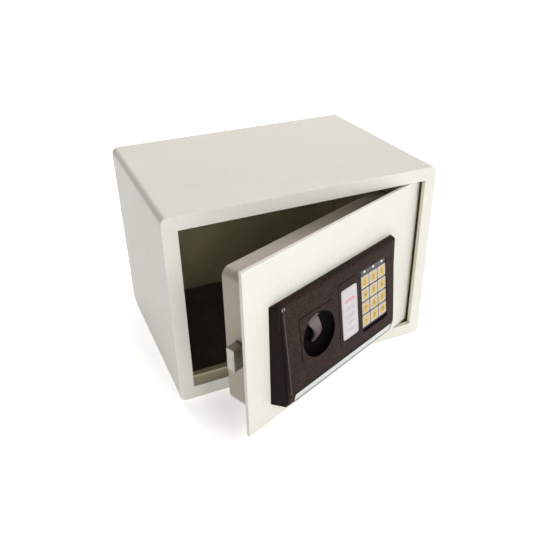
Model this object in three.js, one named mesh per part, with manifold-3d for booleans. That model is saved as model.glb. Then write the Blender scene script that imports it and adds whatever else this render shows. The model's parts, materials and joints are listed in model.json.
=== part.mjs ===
// In-room safe: a front-opening steel box with a right-hung door, an electronic keypad lock,
// a turning knob that draws the bolt, and a battery compartment inside the door.
// Millimetres, +Z up. The origin is the centre of the cabinet's bottom face; the front faces -Y.
// Door parts are modelled with the door shut, then turned about the hinge line to the rest pose.
import * as THREE from 'three';
import { ConvexGeometry } from 'three/addons/geometries/ConvexGeometry.js';
import { mergeVertices } from 'three/addons/utils/BufferGeometryUtils.js';
import Module from 'manifold-3d';

const wasm = await Module();
wasm.setup();

// ---------------------------------------------------------------- driving dimensions
const WIDTH = 350;
const HEIGHT = 250;
const DEPTH = 250;
const FRONT = -DEPTH / 2;
const BACK = DEPTH / 2;
const SHEET = 2;
const CORNER_RADIUS = 8.5;

// Front frame: face widths, and the return that lines the opening.
const FRAME_LEFT = 18.5;
const FRAME_RIGHT = 15.5;
const FRAME_TOP = 17.5;
const FRAME_BOTTOM = 18.5;
const RETURN_DEPTH = 15.5;
const HINGE_RETURN_DEPTH = 6;
const LIP_RISE = 4.5;
const LIP_DEPTH = 7.5;
const OPENING = {
  left: -WIDTH / 2 + FRAME_LEFT,
  right: WIDTH / 2 - FRAME_RIGHT,
  bottom: FRAME_BOTTOM,
  top: HEIGHT - FRAME_TOP,
};

// Door: plate, pan behind it, and the hinge line.
const DOOR_GAP = { left: 1.2, right: 2.8, bottom: 1.4, top: 1.6 };
const PLATE_THICKNESS = 4;
const PLATE = {
  left: OPENING.left + DOOR_GAP.left,
  right: OPENING.right - DOOR_GAP.right,
  bottom: OPENING.bottom + DOOR_GAP.bottom,
  top: OPENING.top - DOOR_GAP.top,
};
const PLATE_BACK = FRONT + PLATE_THICKNESS;
const PAN_WALL = 1.5;
const PAN_DEPTH = 42;
const PAN_RADIUS = 10;
const PAN = {
  left: PLATE.left + 14.9,
  right: PLATE.right - 16.7,
  bottom: PLATE.bottom + 18.1,
  top: PLATE.top - 18.1,
};
const PAN_BACK = PLATE_BACK + PAN_DEPTH;
const PAN_FLANGE = 13;
const PAN_WINDOW_RADIUS = 4;
const PIVOT = { x: 129.5, y: FRONT + 15 };
const OPEN_ANGLE = THREE.MathUtils.degToRad(22.8);

// Lock panel on the door: a wedge whose face leans back towards the top.
const PANEL = { left: 35, right: 255, bottom: 44, top: 175 };
const PANEL_DRAFT = 0.46;
const RIM_AT_TOP = 9.3;
const RIM_AT_BOTTOM = 16.4;
const FACE = { left: 46.7, right: 243.3, bottom: 63, top: 172 };
const FACE_OUT_TOP = 10;
const FACE_SLOPE = 0.11;
const FACE_TILT = Math.atan(FACE_SLOPE);
const CHIN = { bottom: 46, out: 18 };
const PANEL_WALL = 2.5;
const CLEARANCE = 0.3;

// Knob, crank and bolt.
const KNOB = { s: 99.3, z: 115.5, radius: 26.4, rim: 1.2, front: 13.3, back: 2.2 };
const KNOB_HOLE_RADIUS = 27;
const KNOB_TILT = THREE.MathUtils.degToRad(14);
const SPINDLE_RADIUS = 5;
const SPINDLE_PLAY = 1;
const BOLT = { height: 29, thickness: 11.4, front: 18, end: -0.3, length: 76 };
const BOLT_THROW = 12;
const CRANK_RADIUS = 10;
const CRANK_PIN_RADIUS = 3;
const CRANK_PIN_SLACK = 0.4;
const CRANK_SLOT_FLAT = 0.01;

// Keypad: three columns and four rows of square keys below an indicator strip.
const KEY_COLUMNS = 3;
const KEY_ROWS = 4;
const KEY_PITCH_S = 17.25;
const KEY_PITCH_Z = 17.5;
const KEY_FIRST = { s: 187, z: 142.3 };
const KEY_SIZE = 15.7;
const KEY_THICKNESS = 2.2;
const KEY_RECESS = 1;
const KEY_NAMES = ['1', '2', '3', '4', '5', '6', '7', '8', '9', 'star', '0', 'hash'];

// Facet counts: round pieces, and a quarter turn of a rounded corner.
const FINE = 36;
const COARSE = 20;
const SMALL = 12;
const CORNER = 6;
const TIGHT_CORNER = 3;

// How far a cutting tool runs past the surface it cuts.
const PAST = 1;

// ---------------------------------------------------------------- solid helpers
function toSolid(geometry) {
  const bare = geometry.index ? geometry.clone() : geometry;
  bare.deleteAttribute('normal');
  bare.deleteAttribute('uv');
  const merged = mergeVertices(bare, 1e-4);
  return new wasm.Manifold(new wasm.Mesh({
    numProp: 3,
    vertProperties: new Float32Array(merged.attributes.position.array),
    triVerts: new Uint32Array(merged.index.array),
  }));
}

function toGeometry(solid) {
  const mesh = solid.getMesh();
  const geometry = new THREE.BufferGeometry();
  geometry.setAttribute('position', new THREE.BufferAttribute(mesh.vertProperties, 3));
  geometry.setIndex(new THREE.BufferAttribute(mesh.triVerts, 1));
  geometry.computeVertexNormals();
  return geometry;
}

function join(...geometries) {
  return toGeometry(geometries.map(toSolid).reduce((sum, next) => sum.add(next)));
}

function cut(base, ...tools) {
  return toGeometry(tools.map(toSolid).reduce((rest, tool) => rest.subtract(tool), toSolid(base)));
}

function overlap(a, b) {
  return toGeometry(toSolid(a).intersect(toSolid(b)));
}

// Box from its lowest and highest corner.
function block(x0, x1, y0, y1, z0, z1) {
  const box = new THREE.BoxGeometry(x1 - x0, y1 - y0, z1 - z0);
  return box.translate((x0 + x1) / 2, (y0 + y1) / 2, (z0 + z1) / 2);
}

// Outline of a rectangle with rounded corners; its x and y are the part's x and z.
function roundedRectangle(left, right, bottom, top, radius) {
  const shape = new THREE.Shape();
  shape.absarc(right - radius, bottom + radius, radius, -Math.PI / 2, 0);
  shape.absarc(right - radius, top - radius, radius, 0, Math.PI / 2);
  shape.absarc(left + radius, top - radius, radius, Math.PI / 2, Math.PI);
  shape.absarc(left + radius, bottom + radius, radius, Math.PI, Math.PI * 1.5);
  shape.closePath();
  return shape;
}

// Extrudes an outline drawn in x and z along +Y, from y0 to y1.
function slab(shape, y0, y1, segments = CORNER) {
  const geometry = new THREE.ExtrudeGeometry(shape, {
    depth: y1 - y0,
    bevelEnabled: false,
    curveSegments: segments,
  });
  return geometry.rotateX(Math.PI / 2).translate(0, y1, 0);
}

// Upright cylinder from z0 to z1.
function post(x, y, z0, z1, radius, segments = COARSE) {
  const geometry = new THREE.CylinderGeometry(radius, radius, z1 - z0, segments);
  return geometry.rotateX(Math.PI / 2).translate(x, y, (z0 + z1) / 2);
}

// Cylinder along Y from y0 to y1.
function drum(x, z, y0, y1, radius, segments = COARSE) {
  const geometry = new THREE.CylinderGeometry(radius, radius, y1 - y0, segments);
  return geometry.translate(x, (y0 + y1) / 2, z);
}

// Cylinder along X from x0 to x1.
function rod(y, z, x0, x1, radius, segments = COARSE) {
  const geometry = new THREE.CylinderGeometry(radius, radius, x1 - x0, segments);
  return geometry.rotateZ(Math.PI / 2).translate((x0 + x1) / 2, y, z);
}

// Turned piece about an upright axis from [radius, z] points that start and end on the axis.
function turned(x, y, points, segments = COARSE) {
  const profile = points.map(([radius, z]) => new THREE.Vector2(radius, z));
  return new THREE.LatheGeometry(profile, segments).rotateX(Math.PI / 2).translate(x, y, 0);
}

// Door positions: s runs from the plate's free edge towards the hinge, out is the height
// above the plate's outer face.
function doorPoint(s, out, z) {
  return new THREE.Vector3(PLATE.left + s, FRONT - out, z);
}

function doorBlock(s0, s1, out0, out1, z0, z1) {
  return block(PLATE.left + s0, PLATE.left + s1, FRONT - out1, FRONT - out0, z0, z1);
}

// Height of the panel's leaning face above the plate.
function faceOut(z) {
  return FACE_OUT_TOP + (FACE.top - z) * FACE_SLOPE;
}

// Places a piece drawn flat at the origin (width on x, height on z, thickness towards -Y)
// on the leaning face, sunk by depth.
function onFace(geometry, s, z, depth = 0) {
  const place = doorPoint(s, faceOut(z), z);
  geometry.rotateX(-FACE_TILT);
  const inward = new THREE.Vector3(0, Math.cos(FACE_TILT), -Math.sin(FACE_TILT));
  place.addScaledVector(inward, depth);
  return geometry.translate(place.x, place.y, place.z);
}

// Flat piece for onFace, rounded, lying from depth 0 to its thickness behind the face.
function facePad(width, height, thickness, radius, segments = TIGHT_CORNER) {
  const outline = roundedRectangle(-width / 2, width / 2, -height / 2, height / 2, radius);
  return slab(outline, 0, thickness, segments);
}

// ---------------------------------------------------------------- materials
function paint(color, roughness = 0.6, metalness = 0) {
  return new THREE.MeshStandardMaterial({ color, roughness, metalness });
}

const root = new THREE.Group();
const hinge = new THREE.Group();
hinge.position.set(PIVOT.x, PIVOT.y, 0);
hinge.rotation.z = OPEN_ANGLE;
const door = new THREE.Group();
door.position.set(-PIVOT.x, -PIVOT.y, 0);
hinge.add(door);
root.add(hinge);

function add(group, name, geometry, material) {
  const mesh = new THREE.Mesh(geometry, material);
  mesh.name = name;
  group.add(mesh);
}

const ivory = () => paint(0xdedbcb);
const innerBeige = () => paint(0xbfb3a6);
const zinc = () => paint(0xa9a9a6, 0.35, 0.9);
const brass = () => paint(0xb08d4a, 0.4, 0.9);
const steel = () => paint(0x8f8c86, 0.3, 0.95);
const felt = () => paint(0x1a1513, 0.95);
const rubber = () => paint(0x24211f, 0.9);
const blackBrown = () => paint(0x2e2426, 0.5);
const black = () => paint(0x26272a, 0.6);
const slate = () => paint(0x4b4f5e, 0.5);
const satinStrip = () => paint(0xc9d6cf, 0.3, 0.6);
const white = () => paint(0xf0ecec, 0.4);
const cream = () => paint(0xd9d3c4, 0.45);
const boardGreen = () => paint(0x1f5a3a, 0.5);
const coilCase = () => paint(0x3a3f46, 0.4, 0.5);
const cellWrap = () => paint(0x9a3b2c, 0.35, 0.4);
const red = () => paint(0xb3201d, 0.4);
const greyLead = () => paint(0x9a9a98, 0.6);
const redLead = () => paint(0x8c1f1f, 0.6);

// ---------------------------------------------------------------- cabinet
const ANCHOR_RADIUS = 6;
const ANCHOR_SPACING = 200;

function cabinetWrap() {
  const outline = roundedRectangle(-WIDTH / 2, WIDTH / 2, 0, HEIGHT, CORNER_RADIUS);
  outline.holes.push(roundedRectangle(
    -WIDTH / 2 + SHEET, WIDTH / 2 - SHEET, SHEET, HEIGHT - SHEET, CORNER_RADIUS - SHEET,
  ));
  return slab(outline, FRONT + SHEET, BACK);
}

function backPanel() {
  const outline = roundedRectangle(
    -WIDTH / 2 + SHEET, WIDTH / 2 - SHEET, SHEET, HEIGHT - SHEET, CORNER_RADIUS - SHEET,
  );
  const panel = slab(outline, BACK - SHEET, BACK);
  const middle = HEIGHT / 2;
  const holes = [-ANCHOR_SPACING / 2, ANCHOR_SPACING / 2].map(
    (x) => drum(x, middle, BACK - SHEET * 2, BACK + SHEET, ANCHOR_RADIUS),
  );
  return cut(panel, ...holes);
}

// The return is shallower from here to the hinge side, to let the door swing.
const HINGE_BAY = 108;
const WELD_LAP = 1;

function frontFrame() {
  const outline = roundedRectangle(-WIDTH / 2, WIDTH / 2, 0, HEIGHT, CORNER_RADIUS);
  const face = slab(outline, FRONT, FRONT + SHEET);
  const opening = block(
    OPENING.left, OPENING.right, FRONT - SHEET, FRONT + SHEET * 2, OPENING.bottom, OPENING.top,
  );
  const outer = { left: OPENING.left - SHEET, right: OPENING.right + SHEET };
  const low = OPENING.bottom - SHEET;
  const high = OPENING.top + SHEET;
  const deep = FRONT + RETURN_DEPTH;
  const shallow = FRONT + HINGE_RETURN_DEPTH;
  const pieces = [
    cut(face, opening),
    block(outer.left, OPENING.left, FRONT + WELD_LAP, deep, low, high),
    block(OPENING.right, outer.right, FRONT + WELD_LAP, shallow, low, high),
    block(outer.left, HINGE_BAY, FRONT + WELD_LAP, deep, low, OPENING.bottom),
    block(outer.left, HINGE_BAY, FRONT + WELD_LAP, deep, OPENING.top, high),
    block(HINGE_BAY - WELD_LAP, outer.right, FRONT + WELD_LAP, shallow, low, OPENING.bottom),
    block(HINGE_BAY - WELD_LAP, outer.right, FRONT + WELD_LAP, shallow, OPENING.top, high),
  ];
  const lipBack = deep + LIP_DEPTH;
  const lipLow = OPENING.bottom + LIP_RISE;
  const lipHigh = OPENING.top - LIP_RISE;
  pieces.push(
    block(outer.left, HINGE_BAY, deep - WELD_LAP, deep + SHEET, low, lipLow),
    block(outer.left, HINGE_BAY, deep, lipBack, lipLow - SHEET, lipLow),
    block(outer.left, HINGE_BAY, deep - WELD_LAP, deep + SHEET, lipHigh, high),
    block(outer.left, HINGE_BAY, deep, lipBack, lipHigh, lipHigh + SHEET),
  );
  return join(...pieces);
}

const MAT = { thickness: 2, front: FRONT + 29, sideGap: 7, backGap: 0.5 };

function floorMat() {
  const half = WIDTH / 2 - SHEET - MAT.sideGap;
  const top = SHEET + MAT.thickness;
  return block(-half, half, MAT.front, BACK - SHEET - MAT.backGap, SHEET, top);
}

const TAB = { thickness: 3, halfWidth: 17, behindPivot: 12 };
const PIN = { radius: 4, shoulder: 6, bore: 4.08, tail: 4.5, reach: 9, chamfer: 1 };
const SHOULDER_GAP = 0.3;
const BUSH = { flange: 1.2, flangeRadius: 8, outer: 5.7, beyondWall: 2 };

// Mirrors a lower hinge piece to the top of what it belongs to.
function mirrored(geometry, upper, span = OPENING) {
  if (!upper) {
    return geometry;
  }
  const solid = toSolid(geometry).mirror([0, 0, 1]).translate([0, 0, span.bottom + span.top]);
  return toGeometry(solid);
}

function hingeBracket(upper) {
  const shelfTop = OPENING.bottom;
  const front = FRONT + HINGE_RETURN_DEPTH + CLEARANCE;
  const back = PIVOT.y + TAB.behindPivot;
  const left = PIVOT.x - TAB.halfWidth;
  const right = PIVOT.x + TAB.halfWidth;
  const foot = upper ? shelfTop - (HEIGHT - SHEET - OPENING.top) : SHEET;
  const shelf = block(left, right, front, back, shelfTop - TAB.thickness, shelfTop);
  const leg = block(left, right, back - TAB.thickness, back, foot, shelfTop - WELD_LAP);
  const bore = post(PIVOT.x, PIVOT.y, 0, shelfTop + PAST, PIN.bore, FINE);
  const bracket = cut(join(shelf, leg), bore);
  return mirrored(bracket, upper);
}

function hingePin(upper) {
  const shoulderTop = PAN.bottom - BUSH.flange - SHOULDER_GAP;
  const tip = PAN.bottom + PIN.reach;
  const pin = turned(PIVOT.x, PIVOT.y, [
    [0, OPENING.bottom - PIN.tail],
    [PIN.radius, OPENING.bottom - PIN.tail],
    [PIN.radius, OPENING.bottom],
    [PIN.shoulder, OPENING.bottom],
    [PIN.shoulder, shoulderTop],
    [PIN.radius, shoulderTop],
    [PIN.radius, tip - PIN.chamfer],
    [PIN.radius - PIN.chamfer, tip],
    [0, tip],
  ], FINE);
  return mirrored(pin, upper);
}

for (const [name, upper] of [['lower', false], ['upper', true]]) {
  add(root, `hinge_bracket_${name}`, hingeBracket(upper), ivory());
  add(root, `hinge_pin_${name}`, hingePin(upper), zinc());
}
add(root, 'cabinet_wrap', cabinetWrap(), ivory());
add(root, 'back_panel', backPanel(), ivory());
add(root, 'front_frame', frontFrame(), ivory());
add(root, 'floor_mat', floorMat(), felt());

// ---------------------------------------------------------------- door shell
const LOCK = { s: 155, z: 118, radius: 9 };
const LEAD_HOLE = { s: 236, z: 150, radius: 5 };

function doorPlate() {
  const plate = block(PLATE.left, PLATE.right, FRONT, PLATE_BACK, PLATE.bottom, PLATE.top);
  const hole = (s, z, radius) => drum(PLATE.left + s, z, FRONT - PAST, PLATE_BACK + PAST, radius);
  return cut(
    plate,
    hole(KNOB.s, KNOB.z, SPINDLE_RADIUS + SPINDLE_PLAY),
    hole(LOCK.s, LOCK.z, LOCK.radius + CLEARANCE),
    hole(LEAD_HOLE.s, LEAD_HOLE.z, LEAD_HOLE.radius),
  );
}

const BOLT_Y = FRONT + BOLT.front;
const BOLT_WINDOW_GAP = 0.6;

// The pan's outline with its edges drawn in by an inset.
function panOutline(inset, radius) {
  return roundedRectangle(
    PAN.left + inset, PAN.right - inset, PAN.bottom + inset, PAN.top - inset, radius,
  );
}

function doorPan() {
  const corner = 5;
  const outer = slab(panOutline(0, PAN_RADIUS), PLATE_BACK + CLEARANCE, PAN_BACK, corner);
  const hollow = slab(
    panOutline(PAN_WALL, PAN_RADIUS - PAN_WALL), PLATE_BACK - PAST, PAN_BACK - PAN_WALL, corner,
  );
  const window = slab(
    panOutline(PAN_FLANGE, PAN_WINDOW_RADIUS), PAN_BACK - PAN_WALL * 2, PAN_BACK + PAST, TIGHT_CORNER,
  );
  const boltWindow = block(
    PAN.left - PAST, PAN.left + PAN_WALL + PAST,
    BOLT_Y - BOLT_WINDOW_GAP, BOLT_Y + BOLT.thickness + BOLT_WINDOW_GAP,
    KNOB.z - BOLT.height / 2 - BOLT_WINDOW_GAP, KNOB.z + BOLT.height / 2 + BOLT_WINDOW_GAP,
  );
  const bore = BUSH.outer + CLEARANCE;
  const hingeBore = post(PIVOT.x, PIVOT.y, PAN.bottom - PAST, PAN.top + PAST, bore, FINE);
  return cut(outer, hollow, window, boltWindow, hingeBore);
}

function hingeBush(upper) {
  const foot = PAN.bottom - BUSH.flange;
  const top = PAN.bottom + PAN_WALL + BUSH.beyondWall;
  const bush = turned(PIVOT.x, PIVOT.y, [
    [PIN.bore, foot],
    [BUSH.flangeRadius, foot],
    [BUSH.flangeRadius, PAN.bottom],
    [BUSH.outer, PAN.bottom],
    [BUSH.outer, top],
    [PIN.bore, top],
    [PIN.bore, foot],
  ], FINE);
  return mirrored(bush, upper, PAN);
}

const COVER = { thickness: 1.2, inset: 5, radius: 6 };
const COVER_FRONT = PAN_BACK + CLEARANCE;
const COVER_BACK = COVER_FRONT + COVER.thickness;
const BATTERY = { x: 40, z: 96, length: 50, radius: 7.1, count: 4, pitch: 15.2 };
const BATTERY_STACK = (BATTERY.count * BATTERY.pitch) / 2;
const BATTERY_WINDOW = { halfWidth: 31, margin: 2 };
const RESET = { x: 96, z: 176, radius: 4 };
const SCREW = { radius: 1.8, head: 3.4, headHeight: 2, recess: 1.3, slotHalf: 0.5, inset: 10 };
const COVER_MIDDLE_Z = (PAN.bottom + PAN.top) / 2;
const COVER_SCREWS = [
  [PAN.left + SCREW.inset, COVER_MIDDLE_Z],
  [PAN.right - SCREW.inset, COVER_MIDDLE_Z],
];

function innerCover() {
  const plate = slab(panOutline(COVER.inset, COVER.radius), COVER_FRONT, COVER_BACK, TIGHT_CORNER);
  const start = COVER_FRONT - PAST;
  const end = COVER_BACK + PAST;
  const half = BATTERY_STACK + BATTERY_WINDOW.margin;
  const batteryWindow = block(
    BATTERY.x - BATTERY_WINDOW.halfWidth, BATTERY.x + BATTERY_WINDOW.halfWidth,
    start, end, BATTERY.z - half, BATTERY.z + half,
  );
  const resetHole = drum(RESET.x, RESET.z, start, end, RESET.radius + CLEARANCE);
  const screwHoles = COVER_SCREWS.map(
    ([x, z]) => drum(x, z, start, end, SCREW.radius + CLEARANCE),
  );
  return cut(plate, batteryWindow, resetHole, ...screwHoles);
}

// Cross-headed screw: its shank sits in the cover's hole.
function coverScrew(x, z) {
  const top = COVER_BACK + SCREW.headHeight;
  const head = drum(x, z, COVER_BACK + CLEARANCE, top, SCREW.head);
  const shank = drum(x, z, COVER_FRONT - CLEARANCE / 2, COVER_BACK + WELD_LAP, SCREW.radius);
  const slot = (halfX, halfZ) => block(
    x - halfX, x + halfX, COVER_BACK + SCREW.recess, top + PAST, z - halfZ, z + halfZ,
  );
  const reach = SCREW.head + PAST;
  return cut(join(head, shank), slot(reach, SCREW.slotHalf), slot(SCREW.slotHalf, reach));
}

// Small rubber stud behind the plate's lower free corner.
const BUFFER = { inset: 6, height: 4.1, length: 4.2, base: 2.7, end: 2.2, tip: 1.4, round: 0.7 };

function doorBuffer() {
  const start = PLATE_BACK + CLEARANCE;
  const end = start + BUFFER.length;
  const profile = [
    [0, start],
    [BUFFER.base, start],
    [BUFFER.end, end - BUFFER.round],
    [BUFFER.tip, end],
    [0, end],
  ].map(([radius, y]) => new THREE.Vector2(radius, y));
  const stud = new THREE.LatheGeometry(profile, COARSE);
  return stud.translate(PLATE.left + BUFFER.inset, 0, PLATE.bottom + BUFFER.height);
}

add(door, 'door_plate', doorPlate(), ivory());
add(door, 'door_pan', doorPan(), innerBeige());
add(door, 'hinge_bush_lower', hingeBush(false), brass());
add(door, 'hinge_bush_upper', hingeBush(true), brass());
add(door, 'inner_cover', innerCover(), innerBeige());
COVER_SCREWS.forEach(([x, z], index) => {
  add(door, `cover_screw_${index + 1}`, coverScrew(x, z), zinc());
});
add(door, 'door_buffer', doorBuffer(), rubber());

// ---------------------------------------------------------------- lock panel
function rimOut(z) {
  const along = (PANEL.top - z) / (PANEL.top - PANEL.bottom);
  return RIM_AT_TOP + (RIM_AT_BOTTOM - RIM_AT_TOP) * along;
}

// Lower body of the panel: flat back, drafted sides, and the narrow rim that frames the face.
function panelSkirt(inset) {
  const points = [];
  for (const z of [PANEL.bottom + inset, PANEL.top - inset]) {
    const out = rimOut(z) - inset;
    const draft = PANEL_DRAFT * out;
    points.push(doorPoint(PANEL.left + inset, CLEARANCE - inset, z));
    points.push(doorPoint(PANEL.right - inset, CLEARANCE - inset, z));
    points.push(doorPoint(PANEL.left + draft + inset, out, z));
    points.push(doorPoint(PANEL.right - draft - inset, out, z));
  }
  return new ConvexGeometry(points);
}

const RIM_WIDTH = 2.2;
const RIM_LAP = 3;
const RIM_STEP = 1;

// Raised body: the leaning face, the chin below it, and its narrow bevelled edges.
function panelFace(inset) {
  const points = [];
  const spread = (left, right, out, z) => {
    points.push(doorPoint(left, out, z));
    points.push(doorPoint(right, out, z));
  };
  const base = (z) => {
    const draft = PANEL_DRAFT * rimOut(z) + RIM_WIDTH + inset;
    spread(PANEL.left + draft, PANEL.right - draft, rimOut(z) - RIM_LAP - inset, z);
    spread(PANEL.left + draft, PANEL.right - draft, rimOut(z) - inset, z);
  };
  base(PANEL.top - RIM_STEP - inset);
  base(PANEL.bottom + RIM_STEP + inset);
  for (const z of [FACE.top - inset, FACE.bottom + inset]) {
    spread(FACE.left + inset, FACE.right - inset, faceOut(z) - inset, z);
  }
  spread(FACE.left + inset, FACE.right - inset, CHIN.out - inset, CHIN.bottom + inset);
  return new ConvexGeometry(points);
}

const GROOVE = { width: 0.9, depth: 0.9, radius: 0.3 };

// A narrow groove pressed into the face: a down stroke and a stroke across the top.
function faceGroove({ left, bottom, top, right }) {
  const rise = (top - bottom) / Math.cos(FACE_TILT);
  const upright = facePad(GROOVE.width, rise, GROOVE.depth * 2, GROOVE.radius);
  const across = facePad(right - left, GROOVE.width, GROOVE.depth * 2, GROOVE.radius);
  return join(
    onFace(upright, left, (bottom + top) / 2, -GROOVE.depth),
    onFace(across, (left + right) / 2, top, -GROOVE.depth),
  );
}

const KNOB_GROOVE = { left: 68.2, bottom: 87.5, top: 148.2, right: 124.5 };
const PAD_GROOVE = { left: 135.4, bottom: 77, top: 159.6, right: 169.2 };
const COVER_PAD = { s: 155, z: 116.5, width: 29, height: 66.5, radius: 3, recess: 0.9, gap: 0.3 };
const COVER_PAD_PROUD = 0.5;
const KEYPAD = { s: KEY_FIRST.s + KEY_PITCH_S, top: 158, bottom: 79.5, width: 50.6, radius: 1.5 };
const KEYPAD_SLOT = 3.6;
const BEYOND_PANEL = 40;
const ABOVE_FACE = 4;

// Hole straight through the panel towards the plate.
function panelBore(s, z, radius, segments) {
  return drum(PLATE.left + s, z, FRONT - BEYOND_PANEL, FRONT + PAST, radius, segments);
}

function panelHousing() {
  const shell = join(panelSkirt(0), panelFace(0));
  const hollow = join(panelSkirt(PANEL_WALL), panelFace(PANEL_WALL));
  const keypadMiddle = (KEYPAD.top + KEYPAD.bottom - KEYPAD_SLOT) / 2;
  const keypadHeight = (KEYPAD.top - KEYPAD.bottom + KEYPAD_SLOT) / Math.cos(FACE_TILT);
  const keypadWindow = facePad(
    KEYPAD.width, keypadHeight, PANEL_WALL * 2 + ABOVE_FACE, KEYPAD.radius,
  );
  const padRecess = facePad(
    COVER_PAD.width + COVER_PAD.gap * 2, COVER_PAD.height + COVER_PAD.gap * 2,
    COVER_PAD.recess + ABOVE_FACE, COVER_PAD.radius,
  );
  return cut(
    shell,
    hollow,
    panelBore(KNOB.s, KNOB.z, KNOB_HOLE_RADIUS, FINE),
    onFace(keypadWindow, KEYPAD.s, keypadMiddle, -ABOVE_FACE),
    onFace(padRecess, COVER_PAD.s, COVER_PAD.z, -ABOVE_FACE),
    panelBore(LOCK.s, LOCK.z, LOCK.radius + CLEARANCE, COARSE),
    faceGroove(KNOB_GROOVE),
    faceGroove(PAD_GROOVE),
  );
}

// Bright strip on the chin.
const CHIN_TILT = Math.atan((faceOut(FACE.bottom) - CHIN.out) / (FACE.bottom - CHIN.bottom));
const STRIP = { left: 53.5, right: 240, thickness: 0.8, inset: 1.4, radius: 1 };

function trimStrip() {
  const rise = FACE.bottom - CHIN.bottom;
  const lean = faceOut(FACE.bottom) - CHIN.out;
  const half = Math.hypot(rise, lean) / 2 - STRIP.inset;
  const halfWidth = (STRIP.right - STRIP.left) / 2;
  const outline = roundedRectangle(-halfWidth, halfWidth, -half, half, STRIP.radius);
  const strip = slab(outline, -STRIP.thickness, 0, TIGHT_CORNER).rotateX(CHIN_TILT);
  const out = CHIN.out + lean / 2 + CLEARANCE;
  const middle = doorPoint((FACE.left + FACE.right) / 2, out, CHIN.bottom + rise / 2);
  return strip.translate(middle.x, middle.y, middle.z);
}

// White cover pad that hides the emergency key slot.
function keyCoverPad() {
  const thickness = COVER_PAD.recess - CLEARANCE + COVER_PAD_PROUD;
  const pad = facePad(COVER_PAD.width, COVER_PAD.height, thickness, COVER_PAD.radius);
  return onFace(pad, COVER_PAD.s, COVER_PAD.z, -COVER_PAD_PROUD);
}

add(door, 'panel_housing', panelHousing(), blackBrown());
add(door, 'trim_strip', trimStrip(), satinStrip());
add(door, 'key_cover_pad', keyCoverPad(), white());

// ---------------------------------------------------------------- keypad
const BEZEL = { depth: 1.6, thickness: 2.4, gap: 0.4, radius: 0.8 };
const STRIP_BOTTOM = 151.4;
const INDICATOR = { depth: 1.2, thickness: 2.8 };
const KEY_GAP = 0.35;
const KEY_RADIUS = 1;

function keyCentre(row, column) {
  return { s: KEY_FIRST.s + column * KEY_PITCH_S, z: KEY_FIRST.z - row * KEY_PITCH_Z };
}

// Pad that fills the keypad window between two heights.
function windowPad(bottom, top, depth, thickness) {
  const height = (top - bottom) / Math.cos(FACE_TILT) - BEZEL.gap * 1.5;
  const pad = facePad(KEYPAD.width - BEZEL.gap * 2, height, thickness, BEZEL.radius);
  return onFace(pad, KEYPAD.s, (top + bottom) / 2, depth);
}

function keypadBezel() {
  const holes = [];
  for (let row = 0; row < KEY_ROWS; row += 1) {
    for (let column = 0; column < KEY_COLUMNS; column += 1) {
      const { s, z } = keyCentre(row, column);
      const size = KEY_SIZE + KEY_GAP * 2;
      const hole = facePad(size, size, BEZEL.thickness + ABOVE_FACE, KEY_RADIUS, 1);
      holes.push(onFace(hole, s, z));
    }
  }
  return cut(windowPad(KEYPAD.bottom, STRIP_BOTTOM, BEZEL.depth, BEZEL.thickness), ...holes);
}

function keyCap(row, column) {
  const { s, z } = keyCentre(row, column);
  return onFace(facePad(KEY_SIZE, KEY_SIZE, KEY_THICKNESS, KEY_RADIUS, 2), s, z, KEY_RECESS);
}

const LAMP = { radius: 1.5, z: 155.4, dome: 0.9, shoulder: 1.15, edge: 1.7, back: 4 };

function indicatorStrip() {
  const strip = windowPad(STRIP_BOTTOM, KEYPAD.top, INDICATOR.depth, INDICATOR.thickness);
  const holes = [0, 1, 2].map((column) => {
    const hole = drum(0, 0, -PAST, LAMP.back + PAST, LAMP.radius + KEY_GAP, SMALL);
    return onFace(hole, keyCentre(0, column).s, LAMP.z);
  });
  return cut(strip, ...holes);
}

// Domed lens.
function lamp(column) {
  const lens = new THREE.LatheGeometry([
    new THREE.Vector2(0, LAMP.dome),
    new THREE.Vector2(LAMP.radius * 0.7, LAMP.shoulder),
    new THREE.Vector2(LAMP.radius, LAMP.edge),
    new THREE.Vector2(LAMP.radius, LAMP.back),
    new THREE.Vector2(0, LAMP.back),
  ], SMALL);
  return onFace(lens, keyCentre(0, column).s, LAMP.z);
}

const BOARD_MIDDLE = (KEYPAD.top + KEYPAD.bottom) / 2;

const MEMBRANE = { width: 46, height: 74, thickness: 1, depth: 4.6 };
const KEY_BOARD = { width: 48, height: 76, thickness: 1.6, depth: 5.9 };

// Flat sheet behind the keys.
function keypadLayer({ width, height, thickness, depth }) {
  return onFace(facePad(width, height, thickness, KEY_RADIUS), KEYPAD.s, BOARD_MIDDLE, depth);
}

add(door, 'keypad_bezel', keypadBezel(), slate());
add(door, 'indicator_strip', indicatorStrip(), slate());
for (let column = 0; column < KEY_COLUMNS; column += 1) {
  add(door, `lamp_${column + 1}`, lamp(column), white());
}
KEY_NAMES.forEach((keyName, index) => {
  const geometry = keyCap(Math.floor(index / KEY_COLUMNS), index % KEY_COLUMNS);
  add(door, `key_${keyName}`, geometry, cream());
});
add(door, 'key_membrane', keypadLayer(MEMBRANE), rubber());
add(door, 'keypad_board', keypadLayer(KEY_BOARD), boardGreen());

// ---------------------------------------------------------------- knob and bolt work
const KNOB_X = PLATE.left + KNOB.s;

// Turns a piece about the knob's axis, counter-clockwise as seen from the front.
function aboutKnob(geometry, angle) {
  return geometry.translate(-KNOB_X, 0, -KNOB.z).rotateY(-angle).translate(KNOB_X, 0, KNOB.z);
}

const DISH = { bowlDepth: 1.6, bowlRound: 7, steps: 6 };
const FINGER = { lap: 0.7, top: 13.6, humpRadius: 55, humpAt: 4, humpHalf: 30, smooth: 40 };
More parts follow.
